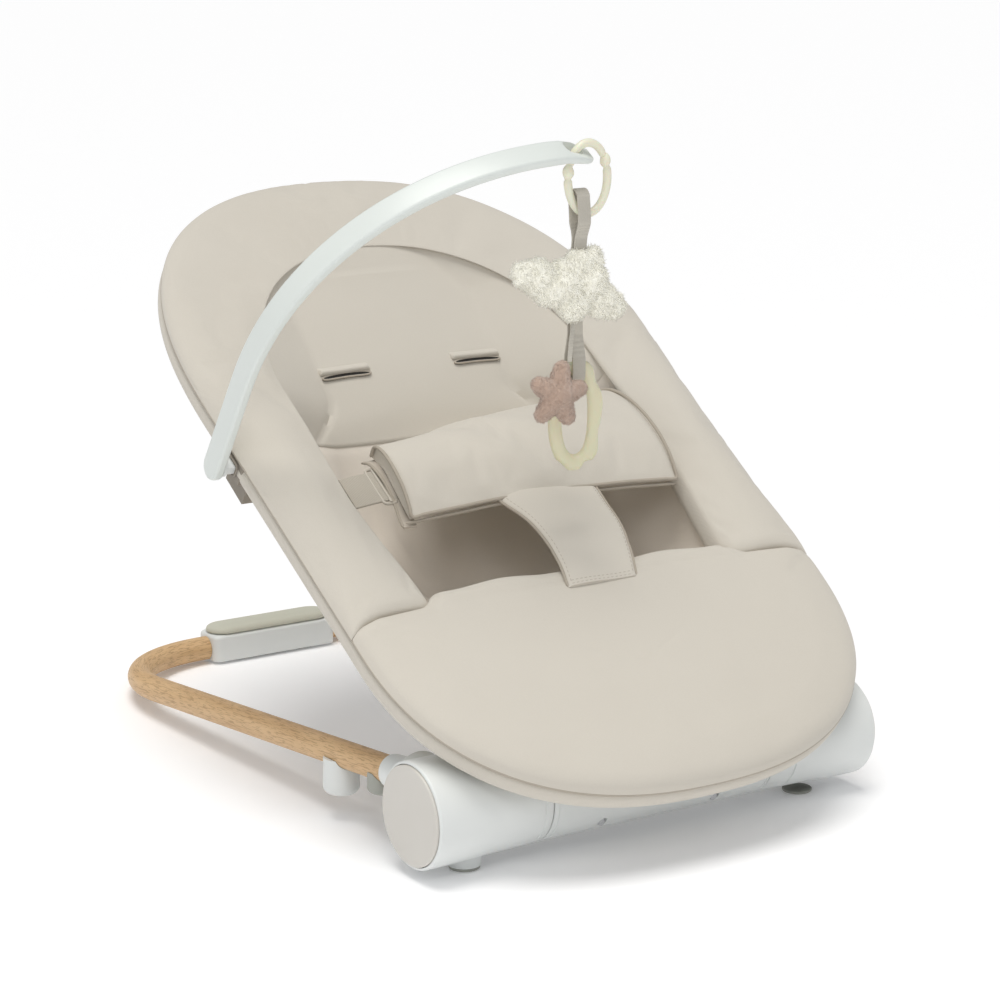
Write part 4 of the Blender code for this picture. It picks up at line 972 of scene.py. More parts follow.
def makeCrotchStrap():
    sections = []
    for s in np.linspace(-0.162, -0.040, 48):
        share = np.linspace(-1, 1, 25)
        bulge = strapLook["thickness"] / 2 * dome((1 - np.abs(share)) / 0.05) + 0.0004
        top = np.array([strapSurface(s, a, r) for a, r in zip(share, bulge)])
        low = np.array([strapSurface(s, a, -r) for a, r in zip(share[::-1], bulge[::-1])])
        sections.append(np.vstack([top, low]))
    made = loft("crotchStrap", onSeat(sections), cloth, crease=60)
    extras = []
    for side in (-1, 1):
        line = np.array([strapSurface(s, side * 0.90, 0.0023) for s in np.linspace(-0.158, -0.050, 60)])
        extras.append(stitchRow("stitch", onSeat(line), trim))
    for side in (-1.0, 1.0):
        edge = np.array([strapSurface(s, side, 0.0006) for s in np.linspace(-0.161, -0.042, 60)])
        extras.append(loft("strapPiping", onSeat(tubeRings(edge, roundEnds(edge, 0.0012, 0.003), 8)), trim))
    for s in (-0.1600, -0.1570):
        line = np.array([strapSurface(s, a, 0.0023) for a in np.linspace(-0.90, 0.90, 40)])
        extras.append(stitchRow("stitch", onSeat(line), trim))
    join(made, *extras)
    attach(made, "seat")
    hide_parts("crotch_strap")
    return made


def makeWaistStrap(side, tag):
    end = -bellyLook["left"] if side < 0 else bellyLook["right"]
    x = np.linspace(end - 0.010, 0.1535, 26)
    middle = -0.014 + 0.012 * (side > 0)
    sections = []
    for value in x:
        t = (value - x[0]) / (x[-1] - x[0])
        n = 0.0095 - 0.0045 * t + 0.0012 * math.sin(math.pi * t)
        ring = []
        for across, up in roundedBox(0.0165, 0.0011, 0.0008, 4):
            ring.append((side * value, middle + across, n + up))
        sections.append(ring)
    made = loft("waistWebbing_" + tag, onSeat(sections), webbing, "seat")
    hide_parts("waist_strap_" + tag)
    low, high = end + 0.0003, end + 0.0123
    n = 0.0088
    corners = roundedBox(0.0195, (high - low) / 2, 0.0035, 5)
    path = np.array([(side * ((low + high) / 2 + b), middle + a, n) for a, b in corners])
    wire = tubeRings(np.vstack([path, path[:1]]), 0.0013, 10)[:-1]
    ring = loft("waistBuckle_" + tag, onSeat(wire), greige, ring=True)
    bar = np.array([(side * (low + high) / 2, middle + a, n + 0.0014) for a in np.linspace(-0.0190, 0.0190, 8)])
    join(ring, loft("bar", onSeat(tubeRings(bar, 0.0012, 10)), greige))
    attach(ring, "seat")
    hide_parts("waist_buckle_" + tag)


def roundedBox(half, thick, corner, steps):  # outline of a rounded rectangle
    points = []
    for cx, cy, start in ((1, -1, -90), (1, 1, 0), (-1, 1, 90), (-1, -1, 180)):
        for step in range(steps + 1):
            angle = math.radians(start + 90 * step / steps)
            x = cx * (half - corner) + corner * math.cos(angle)
            points.append((x, cy * (thick - corner) + corner * math.sin(angle)))
    return points


makeBellyPad()
makeCrotchStrap()
makeWaistStrap(-1, "left")
makeWaistStrap(1, "right")
print("restraint made")

# cross tube: hubs, caps, barrel
tubeLook = {
    "inner": 0.1073,  # where a hub meets the barrel
    "barrel": 0.0397,
    "hub": 0.0422,
    "face": 0.215,
    "capRadius": 0.0396,
    "grooves": {"left": (0.1148,), "right": (0.1305,)},
    "barrelSeam": {"left": 0.1023, "right": 0.1040},
}
legLook = {"radius": 0.0112, "x": 0.1850, "rise": 0.0178, "start": 0.018, "rear": 0.0138, "bend": 0.132,
           "barHalf": 0.066}
legSlope = (place["axleZ"] + legLook["rise"] - legLook["rear"]) / -place["axleY"]
legAngle = math.atan(legSlope)


def legPoint(side, distance, around=0.0, radius=0.0):
    run = np.array([0.0, math.cos(legAngle), -math.sin(legAngle)])
    up = np.array([0.0, math.sin(legAngle), math.cos(legAngle)])
    start = np.array([side * legLook["x"], 0.0, legLook["rise"]])
    return start + run * distance + radius * (up * math.sin(around) + np.array([math.cos(around), 0, 0]))


def legLathe(name, side, profile, finish, steps=64):  # a shape turned round a leg's axis
    turn = np.linspace(0, 2 * math.pi, steps, endpoint=False)
    grid = [[legPoint(side, distance, a, radius) for a in turn] for distance, radius in profile]
    return loft(name, onAxle(grid), finish)


def makeHub(side, tag):
    rim = tubeLook["face"] - 0.0035
    inner, small, big = tubeLook["inner"], tubeLook["barrel"], tubeLook["hub"]
    profile = [(inner, small - 0.0032), (inner, small - 0.0012), (inner + 0.0004, small - 0.0004)]
    profile += [(inner + 0.0012, small)]
    for groove in tubeLook["grooves"][tag]:
        grown = small + (big - small) * (groove - inner) / (rim - inner) * 0.9
        profile += [(groove - 0.0012, grown), (groove - 0.0003, grown - 0.0009), (groove + 0.0003, grown - 0.0009),
                    (groove + 0.0012, grown)]
    profile += [(inner + 0.050, small + 0.0011), (rim - 0.030, big - 0.0003), (rim - 0.012, big)]
    for angle in np.radians(np.linspace(0, 90, 7)):
        profile.append((rim - 0.0022 + 0.0022 * math.sin(angle), big - 0.0022 + 0.0022 * math.cos(angle)))
    profile += [(rim, tubeLook["capRadius"] + 0.0008), (rim - 0.0008, tubeLook["capRadius"] + 0.0003),
                (rim - 0.0125, tubeLook["capRadius"] + 0.0003), (rim - 0.0125, 0.0088), (rim - 0.016, 0.0088),
                (rim - 0.016, small - 0.0032)]
    flipped = [(side * a, r) for a, r in profile]
    hub = lathe("hub" + tag.title(), flipped, white, centre=onAxle((0, 0, 0)), ring=True, crease=30)
    radius = legLook["radius"]
    collar = [(0.010, radius + 0.0040)]
    for t in np.linspace(0, 1, 10):
        collar.append((0.030 + 0.022 * t, radius + 0.0032 + 0.0085 * (1 - dome(t)) ** 1.0))
    collar += [(0.066, radius + 0.0028), (0.0690, radius + 0.0025)]
    collar += [(0.0698, radius + 0.0016), (0.0700, radius + 0.0008)]
    carve(hub, legLathe("collar", side, collar, white), "UNION")
    boss = []
    for t in np.linspace(0, 1, 10):
        boss.append((-0.0478 + 0.016 * t, 0.0128 + 0.0075 * (1 - dome(1 - t))))
    boss = [(-0.0478, 0.0), (-0.0478, 0.0122)] + boss + [(-0.024, 0.0200), (-0.024, 0.0)]
    carve(hub, lathe("boss", boss, white, axis="Z", centre=onAxle((side * 0.164, 0, 0))), "UNION")
    bore = [(0.0, 0.0), (0.0175, 0.0), (0.0175, radius + 0.0002), (0.080, radius + 0.0002), (0.080, 0.0)][1:]
    carve(hub, legLathe("bore", side, bore, white))
    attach(hub, "base")
    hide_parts("hub_" + tag)
    foot = [(-0.0506, 0.0), (-0.0506, 0.0108), (-0.0502, 0.0119), (-0.0494, 0.0124)]
    foot += [(-0.0484, 0.0124), (-0.0480, 0.0118), (-0.0480, 0.0)]
    made = lathe("foot_" + tag, foot, rubber, "base", axis="Z", centre=onAxle((side * 0.164, 0, 0)), steps=64)
    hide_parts("front_foot_" + tag)


def makeCap(side, tag):
    inner, face, radius = tubeLook["face"] - 0.006, tubeLook["face"], tubeLook["capRadius"]
    profile = [(inner, 0.0), (inner, radius - 0.0002)]
    for angle in np.radians(np.linspace(0, 90, 8)):
        profile.append((face - 0.0026 + 0.0012 * math.sin(angle), radius - 0.0014 + 0.0012 * math.cos(angle)))
    for t in np.linspace(0.94, 0.0, 14):
        profile.append((face - 0.0013 * t**2, radius * t))
    cap = lathe("cap_" + tag, [(side * a, r) for a, r in profile], capBeige, centre=onAxle((0, 0, 0)), crease=40)
    for number in range(3):
        angle = math.radians(97 + 120 * number)
        root = side * (inner + 0.001)
        prong = [(side * 0.1425, 0.0), (side * 0.1425, 0.0022), (root, 0.0022), (root, 0.0)]
        centre = onAxle((0, 0.020 * math.cos(angle), 0.020 * math.sin(angle)))
        carve(cap, lathe("prong", prong, capBeige, centre=centre, steps=20), "UNION", 40)
    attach(cap, "release_" + tag)
    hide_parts("end_cap_" + tag)


def makeShell(sign, name, node):  # half of the barrel, with a fine joint at each end
    length, inner = tubeLook["inner"] - 0.0008, tubeLook["barrel"] - 0.003
    outer = tubeLook["barrel"]
    profile = [(-length, inner), (length, inner), (length, outer - 0.0006), (length - 0.0006, outer)]
    groove = tubeLook["barrelSeam"]["right"]
    profile += [(groove + 0.0006, outer), (groove, outer - 0.0006), (groove - 0.0006, outer)]
    groove = -tubeLook["barrelSeam"]["left"]
    profile += [(groove + 0.0006, outer), (groove, outer - 0.0006), (groove - 0.0006, outer)]
    profile += [(-length + 0.0006, outer), (-length, outer - 0.0006)]
    edge = math.asin(0.0002 / outer)
    sections = []
    for angle in np.linspace(-math.pi / 2 + edge, math.pi / 2 - edge, 72):
        sections.append([(a, sign * r * math.cos(angle), r * math.sin(angle)) for a, r in profile])
    shell = loft(name, onAxle(sections), white, crease=30)
    if sign < 0:
        for x in (-0.0551, 0.0551):
            wall = -math.sqrt(outer**2 - 0.0266**2)
            bore = [(wall - 0.01, 0.0), (wall - 0.01, 0.0039), (wall + 0.0040, 0.0039), (wall + 0.0040, 0.0)]
            carve(shell, lathe("bore", bore, white, axis="Y", centre=onAxle((x, 0, -0.0266)), steps=40))
    else:
        for side in (-1, 1):
            carve(shell, armSlot(side))
    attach(shell, "barrel")
    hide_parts(node)


def armSlot(side):
    half, width = 0.0085 + 0.0397 * math.tan(math.radians(6.5)), 0.0105
    c, s = math.cos(place["tilt"]), math.sin(place["tilt"])
    sections = []
    for distance in (0.020, 0.052):
        ring = []
        for across, up in roundedBox(width, half, 0.004, 5):
            ring.append((side * 0.085 + across, c * distance - s * up, s * distance + c * up))
        sections.append(ring)
    return loft("armSlot", onAxle(sections), white)


for hand, label in ((-1, "left"), (1, "right")):
    makeHub(hand, label)
    makeCap(hand, label)
makeShell(-1, "barrelFront", "barrel_front_shell")
makeShell(1, "barrelRear", "barrel_rear_shell")
print("cross tube made")


# legs, crossbar, stops
def makeLeg(side, tag):
    full = -place["axleY"] / math.cos(legAngle)
    bendStart = full - legLook["bend"]
    path = [legPoint(side, d) for d in np.linspace(legLook["start"], bendStart, 60)]
    reach = legLook["x"] - legLook["barHalf"] - 0.0003 - 0.004
    for angle in np.radians(np.linspace(0, 90, 41)[1:]):
        inwards = np.array([side * reach * (1 - math.cos(angle)), 0, 0])
        path.append(legPoint(side, bendStart + legLook["bend"] * math.sin(angle)) - inwards)
    last = path[-1]
    path.append(np.array([side * (legLook["barHalf"] + 0.0003), last[1], last[2]]))
    path = resample(np.array(path), 150)
    rings = tubeRings(path, legLook["radius"], 40)
    made = loft("leg" + tag.title(), onAxle(rings), oak, crease=45)
    steps = np.r_[0, np.cumsum(np.linalg.norm(np.diff(path, axis=0), axis=1))]
    turn = np.linspace(0, 2 * math.pi, 40, endpoint=False)
    grain = np.empty((150, 40, 3))
    grain[..., 0] = steps[:, None] + (0.0 if side < 0 else 3.7)
    grain[..., 1] = legLook["radius"] * np.cos(turn)
    grain[..., 2] = legLook["radius"] * np.sin(turn)
    flat = np.vstack([grain.reshape(-1, 3), grain[0].mean(0), grain[-1].mean(0)])
    layer = made.data.attributes.new("grain", "FLOAT_VECTOR", "POINT")
    layer.data.foreach_set("vector", flat.astype(np.float32).ravel())
    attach(made, "base")
    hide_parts("leg_" + tag)


def slab(name, halfLength, halfDepth, corner, low, high, edge, finish, body, crown=0.0):
    rings = []
    shape = np.array(roundedBox(halfLength, halfDepth, corner, 12))
    size = np.array([halfLength, halfDepth])
    heights = [(low, edge * 0.4), (low + edge * 0.12, edge * 0.12), (low + edge * 0.4, 0.0)]
    for angle in np.radians(np.linspace(0, 90, 9)):
        heights.append((high - crown - edge + edge * math.sin(angle), edge * (1 - math.cos(angle))))
    for z, inset in heights:
        rings.append(np.column_stack([shape * (1 - inset / size), np.full(len(shape), z)]))
    for t in (0.75, 0.5, 0.25, 0.02):
        rings.append(np.column_stack([shape * (1 - edge / size) * t, np.full(len(shape), high - crown * t**2)]))
    return loft(name, rings, finish, body, crease=45)


def makeCrossbar():
    bar = slab("rearCrossbar", 0.066, 0.018, 0.0075, 0.0023, 0.0278, 0.0035, white, "base")
    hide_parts("rear_crossbar")
    pad = slab("gripPad", 0.0644, 0.0164, 0.0160, 0.0281, 0.0356, 0.0048, sage, "base", crown=0.0012)
    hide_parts("grip_pad")
    rest = slab("restPad", 0.050, 0.011, 0.0105, 0.0, 0.0020, 0.0006, rubber, "base")
    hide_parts("rear_rest_pad")


def makeStop(side, tag, name, node, distance, radius, bottom, finish):
    low = bottom - place["axleZ"]
    top = legLook["rise"] - legSlope * distance - legLook["radius"] * 0.25
    profile = [(low, 0.0)]
    for angle in np.radians(np.linspace(0, 90, 12)):
        profile.append((low + radius * 0.45 * (1 - math.cos(angle)), radius * (0.5 + 0.5 * math.sin(angle))))
    profile += [(top, radius * 0.97), (top, 0.0)]
    centre = onAxle((side * legLook["x"], distance, 0))
    made = lathe(name + "_" + tag, profile, finish, axis="Z", centre=centre, steps=64)
    tool = legLathe("tool", side, [(distance - 0.05, 0.0), (distance - 0.05, legLook["radius"] + 0.0003),
                                   (distance + 0.05, legLook["radius"] + 0.0003), (distance + 0.05, 0.0)], finish)
    carve(made, tool)
    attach(made, "base")
    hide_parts(node + "_" + tag)


for hand, label in ((-1, "left"), (1, "right")):
    makeLeg(hand, label)
    makeStop(hand, label, "legStop", "leg_stop", 0.149, 0.0150, 0.0215, white)
    makeStop(hand, label, "legBumper", "leg_bumper", 0.086, 0.0120, 0.0395, rubber)
makeCrossbar()


# arms
def makeArm(side, tag):
    s0 = -(0.203 * math.cos(place["tilt"]) + 0.2084 * math.sin(place["tilt"]))
    n0 = 0.203 * math.sin(place["tilt"]) - 0.2084 * math.cos(place["tilt"])
    route = [(0.085, s0 + 0.0155, n0), (0.085, s0 + 0.0517, n0 + 0.001), (0.107, s0 + 0.090, n0 + 0.014),
             (0.169, -0.131, -0.036), (0.186, -0.050, -0.0275), (0.193, 0.0, -0.0265), (0.193, 0.0292, -0.0265)]
    path = flowing(np.array(route) * (side, 1, 1), 12)
    made = loft("seatArm_" + tag, onSeat(tubeRings(path, 0.0075, 24)), white, "seat")
    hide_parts("seat_arm_" + tag)


makeArm(-1, "left")
makeArm(1, "right")
print("legs, crossbar and arms made")

# toy bar
bandLook = {"x": 0.244, "along": 0.045, "width": 0.0225, "thickness": 0.0085, "straight": 0.083, "top": 0.298,
            "power": 2.2, "pivot": -0.0045, "tipX": 0.005, "droop": 0.0065, "tipThickness": 0.0055, "corner": 0.0026}


def bandLine():
    base = bandLook["pivot"] - bandLook["width"] / 2
    rounded = bandLook["width"] / 2 * (1 - np.cos(np.radians(np.linspace(0, 90, 12))))
    line = [(-bandLook["x"], base + h) for h in rounded]
    line += [(-bandLook["x"], h) for h in np.linspace(bandLook["pivot"] + 0.004, 0.080, 14)]
    rise = bandLook["top"] - bandLook["straight"]
    for angle in np.radians(np.linspace(0, 88, 60)):
        x = -bandLook["x"] * math.cos(angle) ** (2 / bandLook["power"])
        if x < -0.028:
            line.append((x, bandLook["straight"] + rise * math.sin(angle) ** (2 / bandLook["power"])))
    top, droop, tip = bandLook["top"], bandLook["droop"], bandLook["tipX"]
    line += [(-0.0215, top - 0.0006), (-0.010, top - 0.35 * droop)]
    line += [(tip - 0.004, top - 0.85 * droop), (tip, top - droop)]
    return np.array(line)


def makeToyBar():
    line = bandLine()
    tangent = np.gradient(line, axis=0)
    tangent /= np.linalg.norm(tangent, axis=1)[:, None]
    base = bandLook["pivot"] - bandLook["width"] / 2
    sections = []
    for (x, n), run in zip(line, tangent):
        half = bandLook["width"] / 2
        if n < bandLook["pivot"]:
            half = math.sqrt(max(half**2 - (half - (n - base)) ** 2, 0.0010**2))
        thick = bandLook["thickness"]
        if x > -0.03 and n > bandLook["straight"]:
            t = (x + 0.03) / (bandLook["tipX"] + 0.03)
            thick += (bandLook["tipThickness"] - thick) * t
            half -= 0.0042 * t**4
        corner = min(bandLook["corner"], half * 0.6, thick * 0.42)
        if n < bandLook["pivot"]:
            thick = thick * (0.75 + 0.25 * dome((n - base) / 0.004))
        ring = []
        for across, off in roundedBox(half, thick / 2, corner, 5):
            ring.append((x - run[1] * off, bandLook["along"] + across, n + run[0] * off))
        sections.append(ring)
    bar = loft("toyBar", onSeat(sections), bandWhite, crease=50)
    hook = onSeat((-0.0115, bandLook["along"], bandLook["top"] - 0.30 * bandLook["droop"]))
    shape = np.array(roundedBox(0.00825, 0.00575, 0.0055, 8))
    tool = [np.column_stack([hook[:2] + shape, np.full(len(shape), hook[2] + dz)]) for dz in (-0.02, 0.02)]
    carve(bar, loft("holeTool", tool, bandWhite), crease=50)
    bore = [(-0.2300, 0.0), (-0.2300, 0.0063), (-0.2461, 0.0063), (-0.2461, 0.0)]
    centre = onSeat((0, bandLook["along"], bandLook["pivot"]))
    carve(bar, lathe("boreTool", bore, bandWhite, centre=centre, steps=48), crease=50)
    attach(bar, "toy_bar")
    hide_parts("toy_bar")


makeToyBar()


def makeMountSlot():  # dark cloth slot in the rim that the bar's tongue goes into
    edge = float(halfWidth(bandLook["along"]))
    rings = []
    for inset, grow in ((0.010, 0.0), (-0.0006, 0.0), (-0.0012, 0.0006), (-0.0004, 0.0012)):
        x = -edge + inset
        shape = roundedBox(0.0095 + grow, 0.0052 + grow, 0.0040, 6)
        rings.append([(x, bandLook["along"] + a, bandLook["pivot"] + b) for a, b in shape])
    made = loft("mountSlot", onSeat(rings), pocket, "seat")


makeMountSlot()

# toys
hang = onSeat((0.0, bandLook["along"], bandLook["top"]))
toyLook = {"ringHalf": (0.0188, 0.0276), "wire": 0.0034, "cloudDrop": 0.106, "starDrop": 0.187, "teetherDrop": 0.210}
ringCentre = hang + (0.002, 0, -0.022)


def makeLink():  # open plastic ring whose two ends meet in a bead
    turn = np.radians(np.linspace(0, 360, 121))[:-1]
    path = np.column_stack([toyLook["ringHalf"][0] * np.cos(turn), 0 * turn, toyLook["ringHalf"][1] * np.sin(turn)])
    radius = np.full(len(turn), toyLook["wire"])
    for at in (28, 168):
        off = np.degrees(turn) - at
        radius += 0.0013 * np.exp(-((off / 7.5) ** 2))
        radius -= 0.0012 * np.exp(-(((off - 11) / 2.5) ** 2)) + 0.0012 * np.exp(-(((off + 11) / 2.5) ** 2))
    out = path / np.linalg.norm(path, axis=1)[:, None]
    side = np.linspace(0, 2 * math.pi, 20, endpoint=False)
    grid = path[:, None] + radius[:, None, None] * (
        np.cos(side)[None, :, None] * out[:, None] + np.sin(side)[None, :, None] * np.array([0, 1.0, 0])
    )
    made = loft("linkRing", ringCentre + grid, creamPlastic, "link", ring=True, crease=60)
    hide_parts("link_ring")


def clothTab(name, centre, radius, clear, length, up, finish, body, node, bow=0.0):
    path = [(-0.0019, -length), (-0.0021, -length * 0.75), (-radius * 0.9, -clear - 0.004), (-radius, -clear)]
    for angle in np.linspace(math.pi, 0, 15):
        path.append((radius * math.cos(angle), radius * math.sin(angle)))
    path += [(radius, -clear), (radius * 0.9, -clear - 0.004), (0.0021, -length * 0.75), (0.0019, -length)]
    path = resample(flowing(path, 4), 70)
    run = np.gradient(path, axis=0)
    run /= np.linalg.norm(run, axis=1)[:, None]
    sections = []
    for (y, z), (ry, rz) in zip(path, run):
        ring = []
        lean = bow * math.sin(math.pi * min(1, max(0, -z / length)))
        for across, off in roundedBox(0.0060, 0.0007, 0.0006, 3):
            ring.append((across + lean, y - rz * off, (z + ry * off) * up))
        sections.append(ring)
    made = loft(name, centre + np.array(sections), finish, body, crease=50)
    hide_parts(node)
    return made


tabWebbing = clothFinish("tabRibbon", (212, 207, 196), (176, 170, 158), 0.0009, 0.0003, tilt=False)
wireZ = ringCentre[2] - toyLook["ringHalf"][1]
cloudTop = hang[2] - toyLook["cloudDrop"] + 0.032
foldRadius = toyLook["wire"] + 0.0020 + 0.00075


def lump(name, centre, blobs, voxel, finish, rough, seedShift):  # soft shape from merged balls, with a tufted skin
    bm = bmesh.new()
    for x, y, z, r, squash in blobs:
        scale = Matrix.Diagonal((r, r * squash, r, 1))
        bmesh.ops.create_icosphere(bm, subdivisions=3, radius=1, matrix=Matrix.Translation((x, y, z)) @ scale)
    mesh = bpy.data.meshes.new(name)
    bm.to_mesh(mesh)
    bm.free()
    made = bpy.data.objects.new(name, mesh)
    bpy.context.scene.collection.objects.link(made)
    step = made.modifiers.new("merge", "REMESH")
    step.mode, step.voxel_size = "VOXEL", voxel
    relax = made.modifiers.new("relax", "SMOOTH")
    relax.factor, relax.iterations = 0.6, 5
    applyModifiers(made, 180)
    made.data.materials.clear()
    made.data.materials.append(finish)
    p = coordinates(made.data)
    normals = np.array([v.normal[:] for v in made.data.vertices])
    wave = np.zeros(len(p))
    for scale, size in rough:
        q = p * scale + seedShift
        curl = np.sin(q[:, 0] + 1.3 * np.sin(q[:, 2] * 1.1))
        wave += size * curl * np.sin(q[:, 2] + 0.9 * np.sin(q[:, 1] * 1.3)) * np.cos(q[:, 1])
    setCoordinates(made.data, p + normals * wave[:, None] + np.asarray(centre))
    return made


def addTufts(target, count, length, width, finish, seed):  # short curled fibres standing on a plush skin
    rng = np.random.default_rng(seed)
    p = coordinates(target.data)
    normals = np.array([v.normal[:] for v in target.data.vertices])
    pick = rng.choice(len(p), count, replace=count > len(p))
    lean = rng.normal(0, 0.55, (count, 3))
    droop = np.array([0, 0, -0.35])
    size = length * rng.uniform(0.6, 1.3, count)[:, None]
    first = normals[pick] + lean * 0.6 + droop * 0.4
    first /= np.linalg.norm(first, axis=1)[:, None]
    second = first + lean * 0.8 + droop
    second /= np.linalg.norm(second, axis=1)[:, None]
    root = p[pick] - normals[pick] * 0.0005
    middle = root + first * size * 0.55
    tip = middle + second * size * 0.6
    side = np.cross(first, rng.normal(0, 1, (count, 3)))
    side /= np.maximum(np.linalg.norm(side, axis=1), 1e-9)[:, None]
    other = np.cross(first, side)
    points, faces = [], []
    for k in range(3):
        angle = 2 * math.pi * k / 3
        out = side * math.cos(angle) + other * math.sin(angle)
        points.append(root + out * width)
        points.append(middle + out * width * 0.7)
    points.append(tip)
    grid = np.stack(points, 1)
    for i in range(count):
        b = i * 7
        for k in range(3):
            m = (k + 1) % 3
            faces.append((b + 2 * k, b + 2 * m, b + 2 * m + 1, b + 2 * k + 1))
            faces.append((b + 2 * k + 1, b + 2 * m + 1, b + 6))
        faces.append((b, b + 4, b + 2))
    fur = piece("fur", grid, faces, finish, crease=180)
    return join(target, fur)


def makeCloud():
    centre = np.array([-0.0150, hang[1], hang[2] - toyLook["cloudDrop"]])
    blobs = ((-0.042, 0, 0.013, 0.0110, 0.90), (-0.030, 0, 0.010, 0.0150, 0.85), (-0.018, 0, 0.000, 0.0150, 0.90),
             (-0.004, 0, 0.004, 0.0190, 0.80), (0.010, 0, 0.018, 0.0125, 0.90), (0.021, 0, 0.020, 0.0100, 0.90),
             (0.016, 0, 0.002, 0.0185, 0.82), (0.004, 0, -0.012, 0.0155, 0.85), (0.029, 0, -0.012, 0.0150, 0.85),
             (0.041, 0, -0.019, 0.0110, 0.90))
    made = lump("cloudToy", centre, blobs, 0.0015, cream, ((230, 0.0016), (520, 0.0009), (1200, 0.0005)), 0.7)
    addTufts(made, 5200, 0.0028, 0.00040, cream, 7)
    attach(made, "cloud")
    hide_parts("cloud_toy")
    return made


def makeStar():
    centre = np.array([-0.0370, hang[1] - 0.0170, hang[2] - toyLook["starDrop"]])
    blobs = [(0, 0, 0, 0.0138, 0.80)]
    for k in range(5):
        angle = math.radians(80 + 72 * k)
        for t in np.linspace(0.25, 1, 7):
            r = 0.0120 - 0.0052 * t
            blobs.append((0.0205 * t * math.cos(angle), 0, 0.0205 * t * math.sin(angle), r, 0.82))
    made = lump("starToy", centre, blobs, 0.0009, dusty, ((900, 0.00045), (1700, 0.00025)), 2.1)
    addTufts(made, 2500, 0.0015, 0.00030, dusty, 11)
    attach(made, "star")
    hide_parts("star_toy")
    return centre


def makeTeether():
    centre = np.array([-0.0057, hang[1] + 0.0050, hang[2] - toyLook["teetherDrop"]])
    turn = np.linspace(0, 2 * math.pi, 160, endpoint=False)
    wave = 1 + 0.075 * np.sin(7 * turn + 0.4) * np.clip(0.35 + np.cos(turn + 0.5), 0, 1) - 0.02
    across = np.abs(np.cos(turn)) ** 0.86 * np.sign(np.cos(turn))
    upward = np.abs(np.sin(turn)) ** 0.80 * np.sign(np.sin(turn))
    outerEdge = np.column_stack([0.0225 * across * wave, 0 * turn, 0.0455 * upward * np.minimum(wave, 1)])
    innerEdge = np.column_stack([0.0108 * across, 0 * turn, 0.0322 * upward])
    sections = []
    for o, i in zip(outerEdge, innerEdge):
        ring = []
        for angle in np.linspace(0, 2 * math.pi, 20, endpoint=False):
            out = math.copysign(abs(math.cos(angle)) ** 0.8, math.cos(angle))
            ring.append((o + i) / 2 + (o - i) / 2 * out + np.array([0, 0.00425 * math.sin(angle), 0]))
        sections.append(ring)
    twist = np.array(Matrix.Rotation(math.radians(-18), 3, "Z"))  # it hangs a little turned
    made = loft("teetherRing", centre + np.array(sections) @ twist.T, teetherCream, "teether", ring=True, crease=70)
    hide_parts("teether_ring")
    return centre


makeLink()
tabMiddle = np.array([-0.0062, hang[1], wireZ + 0.0135])
clothTab("strapLoop", tabMiddle, foldRadius, 0.0135 + toyLook["wire"] + 0.001, wireZ + 0.0135 - cloudTop + 0.004,
         1, tabWebbing, "cloud", "strap_loop", bow=0.0012)
makeCloud()
starCentre = makeStar()
knot = hang[2] - toyLook["cloudDrop"] - 0.032 - 0.0018
ribbon = []
for t in np.linspace(0, 1, 20):
    x = -0.0130 + (-0.0260 + 0.0130) * t
    y = hang[1] - 0.0040 - 0.0130 * t
    z = knot + 0.006 + (starCentre[2] + 0.0250 - knot - 0.006) * t
    ribbon.append([(x + a, y + b + 0.001 * math.sin(3 * t), z) for a, b in roundedBox(0.0021, 0.0006, 0.0005, 3)])
starRibbon = loft("starRibbon", ribbon, tabWebbing, "star")
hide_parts("star_ribbon")
teether = makeTeether()
foldZ = teether[2] + 0.0345 - 0.0025
clothTab("teetherTab", np.array([teether[0], teether[1], foldZ]), 0.00425 + 0.0010 + 0.00075,
         0.0435 + 0.0015 - 0.032, knot - foldZ + 0.005, -1, tabWebbing, "teether", "teether_tab")
print("toy bar and toys made")

# CAD pieces that stay
kept = {"steel": steel, "black_plastic": blackPlastic, "white_plastic": white, "grey_rubber": rubber}
for name, node in cadNodes.items():
    if node.hide_render:
        continue
    if name in ("bar_socket", "frame_connector"):
        node.material_slots[0].material = pocket
        continue
    for row in node.material_slots:
        key = (row.material.name if row.material else "steel").split(".")[0]
        row.material = kept.get(key, white)
print("kept nodes:", [n for n, o in cadNodes.items() if not o.hide_render])

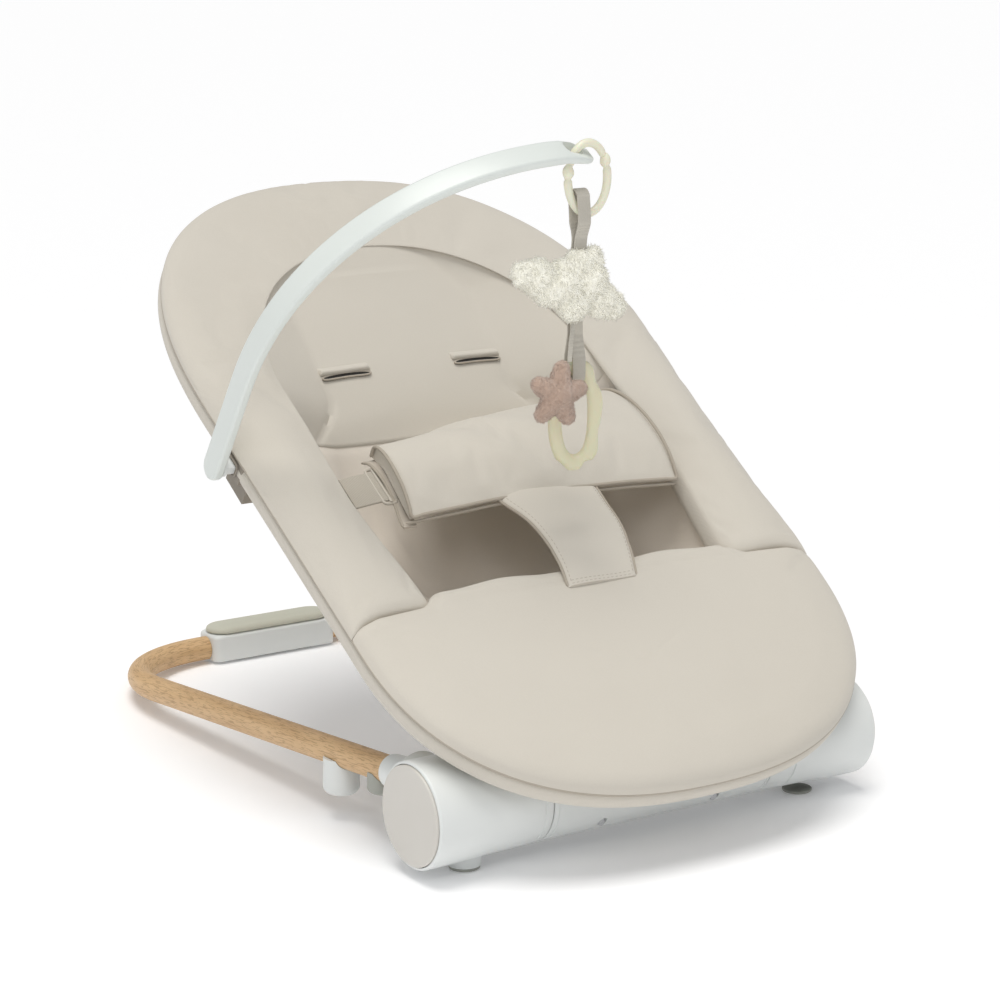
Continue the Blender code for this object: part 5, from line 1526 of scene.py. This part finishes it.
# floor, light, camera
studio = {"world": 0.39, "sun": 1.80, "sunAngle": 34, "softbox": 5.5, "fill": 3.4, "floorGlow": 0.085, "floor": 900}
floorFinish = Finish("paleFloor", (252, 252, 252), 0.9, Specular_IOR_Level=0.1)
paper = floorFinish.noise(floorFinish.space(), 30, 2)
floorFinish.colour(floorFinish.mix(paper, (253, 253, 254), (250, 250, 252)))
floorFinish.shader.inputs["Emission Color"].default_value = (1, 1, 1, 1)
floorFinish.shader.inputs["Emission Strength"].default_value = studio["floorGlow"]
reach = studio["floor"]
corners = [(-reach, -reach, 0), (reach, -reach, 0), (reach, reach, 0), (-reach, reach, 0)]
floor = piece("floor", corners, [(0, 1, 2, 3)], floorFinish.material)
world = bpy.data.worlds.new("studio")
bpy.context.scene.world = world
world.use_nodes = True
world.node_tree.nodes["Background"].inputs["Color"].default_value = (0.965, 0.985, 1.0, 1)
world.node_tree.nodes["Background"].inputs["Strength"].default_value = studio["world"]


def aim(made, position, target):
    made.location = position
    made.rotation_euler = (Vector(target) - Vector(position)).to_track_quat("-Z", "Y").to_euler()
    bpy.context.scene.collection.objects.link(made)


sun = bpy.data.lights.new("sky", "SUN")
sun.energy, sun.angle = studio["sun"], math.radians(studio["sunAngle"])
sun.color = (1.0, 0.985, 0.955)
aim(bpy.data.objects.new("sky", sun), (-0.35, -0.60, 3.2), (0, -0.4, 0.1))
box = bpy.data.lights.new("softbox", "AREA")
box.energy, box.size = studio["softbox"], 1.6
aim(bpy.data.objects.new("softbox", box), (-2.2, -1.2, 1.9), (0, -0.4, 0.2))
front = bpy.data.lights.new("fill", "AREA")
front.energy, front.size = studio["fill"], 0.6
aim(bpy.data.objects.new("fill", front), (-0.75, -1.75, 1.25), (0, -0.42, 0.24))

view = {"position": (-1.306, -2.3735, 0.786), "yaw": 33.575, "pitch": 13.261, "lens": 104.58}
camera = bpy.data.cameras.new("camera")
camera.lens, camera.sensor_width = view["lens"], 36.0
camera.clip_end = 3000
eye = bpy.data.objects.new("camera", camera)
eye.location = view["position"]
eye.rotation_euler = (math.radians(90 - view["pitch"]), 0.0, -math.radians(view["yaw"]))
bpy.context.scene.collection.objects.link(eye)
bpy.context.scene.camera = eye
bpy.context.scene.view_settings.view_transform = "Standard"
